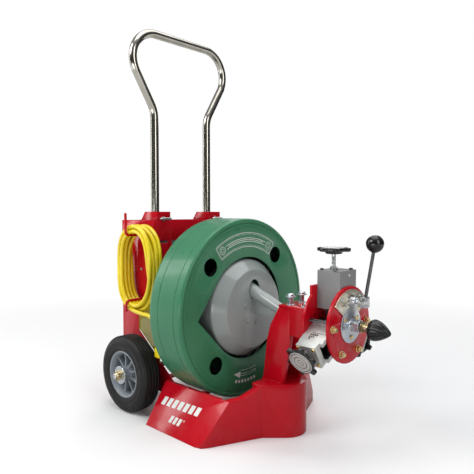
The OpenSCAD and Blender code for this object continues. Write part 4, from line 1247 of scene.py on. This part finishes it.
# two return springs beside the boss
for y0, z0, y1, z1 in ((36, 70, 60, 56), (-14, 66, -40, 56)):
    start = P(FRONT_X + 9, y0, AXIS_Z + z0)
    d = P(FRONT_X + 9, y1, AXIS_Z + z1) - start
    ahead = Vector((1, 0, 0))
    w = d.normalized().cross(ahead)
    pts = []
    for i in range(121):
        c, e = polar(2.8 * MM, tau * 9 * i / 120)
        pts.append(start + d * (i / 120) + c * w + e * ahead)
    f.tube(pts, 0.7 * MM, 7, 1)
# a washer, a nut and a stud's end on the boss, a dark ring round it that is a painted shadow of the boss,
# and two screws in the clamp
b = along(FRONT_X + 18.25, 1, AXIS_Z + 66)
f.lathe([(5, 0), (12, 0), (12.4, 0.5), (12.4, 1.2), (12, 1.6), (5, 1.6)], b, 48, 0)
f.hexnut(shift(b, 0, 0, 1.6), 13, 5, 4.2, mat=1)
f.thread(shift(b, 0, 0, 2), 4.1, 7, 1.2, 0.5, n=24, mat=1)
# the dark ring: a painted shadow round the boss
f.lathe([(15.1, 0), (16.6, 0), (16.9, 0.4), (16.9, 1.4), (15.1, 1.6)],
        along(FRONT_X + 4.25, 1, AXIS_Z + 66), 56, 2)
for z in (407, 423):
    capscrew(f, along(724.03, 50, z), 3.6, 2.6, 1)
f.make("lever_hardware", BODY_OF["lever_yoke"], [ZINC, STEEL, IRON_AND_SHADE], angle=30)
lean = Matrix.Rotation(radians(4.1), 4, "Y") @ Matrix.Rotation(radians(-11), 4, "X")
rod = Matrix.Translation(P(714, 57.5, 409.8)) @ lean
f = Form()
rod_r = 4.95
stem = [(0.1, 0.3), (4.2, 0.3), (4.9, 1.2)] + [(rod_r, z) for z in (20, 60, 100, 150, 155.8)]
f.lathe(stem + [(0.1, 155.9)], rod, 40)
f.stand_for("lever_rod", DARKROD, 35)
f = Form()
ball = arc(0, 172, 25.4, -66, 86, 38)
f.lathe([(5.1, 146.6), (8.2, 147.4), (9.4, 148.3)] + ball + [(0.1, 197.4)], rod, 72, caps=False)
f.stand_for("lever_ball", BLACK, 60)

# ---------- plain marks on the base and small screws ----------
f = Form()
for side in (-1, 1):
    n = Vector((0, side * 0.83, 0.558)).normalized()

    def on_skirt(x, z, lift):
        """A point just above the base's sloping side."""
        return P(x, side * (278 - 0.672 * z), z) + n * lift * MM

    def bar(x0, x1, z0, z1, slant=0.28):
        corners = ((x0, z0), (x1, z0), (x1, z1), (x0, z1))
        f.rings([[on_skirt(x + slant * (z - z0), z, lift) for x, z in corners] for lift in (0.02, 0.3)])

    for i in range(7):
        x = 165 + i * 25.2
        bar(x, x + 17, 62 + 0.6 * i, 84 + 0.6 * i)
    for i in range(3):
        x = 229 + i * 18.5
        bar(x, x + 12, 28, 46)
    bar(289, 293, 42, 46, 0)
f.make("base_marks", "frame", WHITE, angle=30)
f = Form()
for side in (-1, 1):
    for x, z in ((-122, 618), (-122, 420), (18, 470), (10, 610), (-30, 470)):
        capscrew(f, basis(P(x, side * 165.1, z), (0, side, 0)), 5, 2.6)
f.make("frame_screws", "frame", ZINC, angle=30)


# ---------- stage ----------
floor = bpy.data.objects.new("floor", bpy.data.meshes.new("floor"))
floor.data.from_pydata([(x, y, -0.0005) for x, y in circle(9, 96)], [], [list(range(96))])
bpy.context.collection.objects.link(floor)
m = Mat("studio_floor")
far = m.spread(m.add("VectorMath", ((0, m.pos),), operation="LENGTH").outputs["Value"], 0.9, 2.6)
seen = m.add("LightPath").outputs["Is Camera Ray"]
m.done(m.mix(seen, (0.55, 0.55, 0.55), (0.86, 0.86, 0.86)), 0.85, spec=0.1)
glow = m.add("Emission").outputs[0]
join = m.add("MixShader", ((0, far), (1, m.bsdf.outputs[0]), (2, glow)))
m.put(m.tree.nodes["Material Output"].inputs["Surface"], join.outputs[0])
floor.data.materials.append(m.m)

# the world: white to the camera, and a soft dark-to-grey studio for reflections
world = bpy.data.worlds.new("studio")
bpy.context.scene.world = world
world.use_nodes = True
nodes, links = world.node_tree.nodes, world.node_tree.links
split = nodes.new("ShaderNodeSeparateXYZ")
links.new(nodes.new("ShaderNodeTexCoord").outputs["Generated"], split.inputs[0])
ramp = nodes.new("ShaderNodeValToRGB")
links.new(split.outputs[2], ramp.inputs[0])
stops = ramp.color_ramp.elements
stops[0].position, stops[0].color = 0.0, (0.035, 0.034, 0.033, 1)
stops[1].position, stops[1].color = 0.8, (0.42, 0.43, 0.45, 1)
stops.new(0.35).color = (0.12, 0.12, 0.125, 1)
choose = nodes.new("ShaderNodeMix")
choose.data_type = "RGBA"
links.new(nodes.new("ShaderNodeLightPath").outputs["Is Camera Ray"], choose.inputs[0])
links.new(ramp.outputs[0], choose.inputs[6])
choose.inputs[7].default_value = (1, 1, 1, 1)
links.new(choose.outputs[2], nodes["Background"].inputs[0])
CENTRE = (CAD_BOX[0] + CAD_BOX[1]) / 2


def lamp(name, place, wide, high, power, to=(0, 0, 0)):
    """A rectangular soft light; place and to are measured from the middle of the object, in metres."""
    light = bpy.data.lights.new(name, "AREA")
    light.shape, light.size, light.size_y, light.energy = "RECTANGLE", wide, high, power
    o = bpy.data.objects.new(name, light)
    bpy.context.collection.objects.link(o)
    o.location = CENTRE + Vector(place)
    aim(o, CENTRE + Vector(to) - o.location)


lamp("strip", (-2.9, -1.7, 0.9), 0.6, 2.6, 26)
lamp("key", (-1.2, -2.6, 2.2), 1.6, 1.6, 58)
lamp("low", (0.5, -2.6, -0.3), 2.0, 0.6, 13, (0.25, 0, -0.25))
lamp("front", (3.0, -0.6, 1.2), 1.2, 2.2, 30)
lamp("top", (0.2, 0.2, 2.6), 2.6, 2.6, 50)
lamp("back", (-1.6, 2.6, 1.8), 2.0, 2.0, 26)
bpy.context.scene.view_settings.view_transform = "Standard"
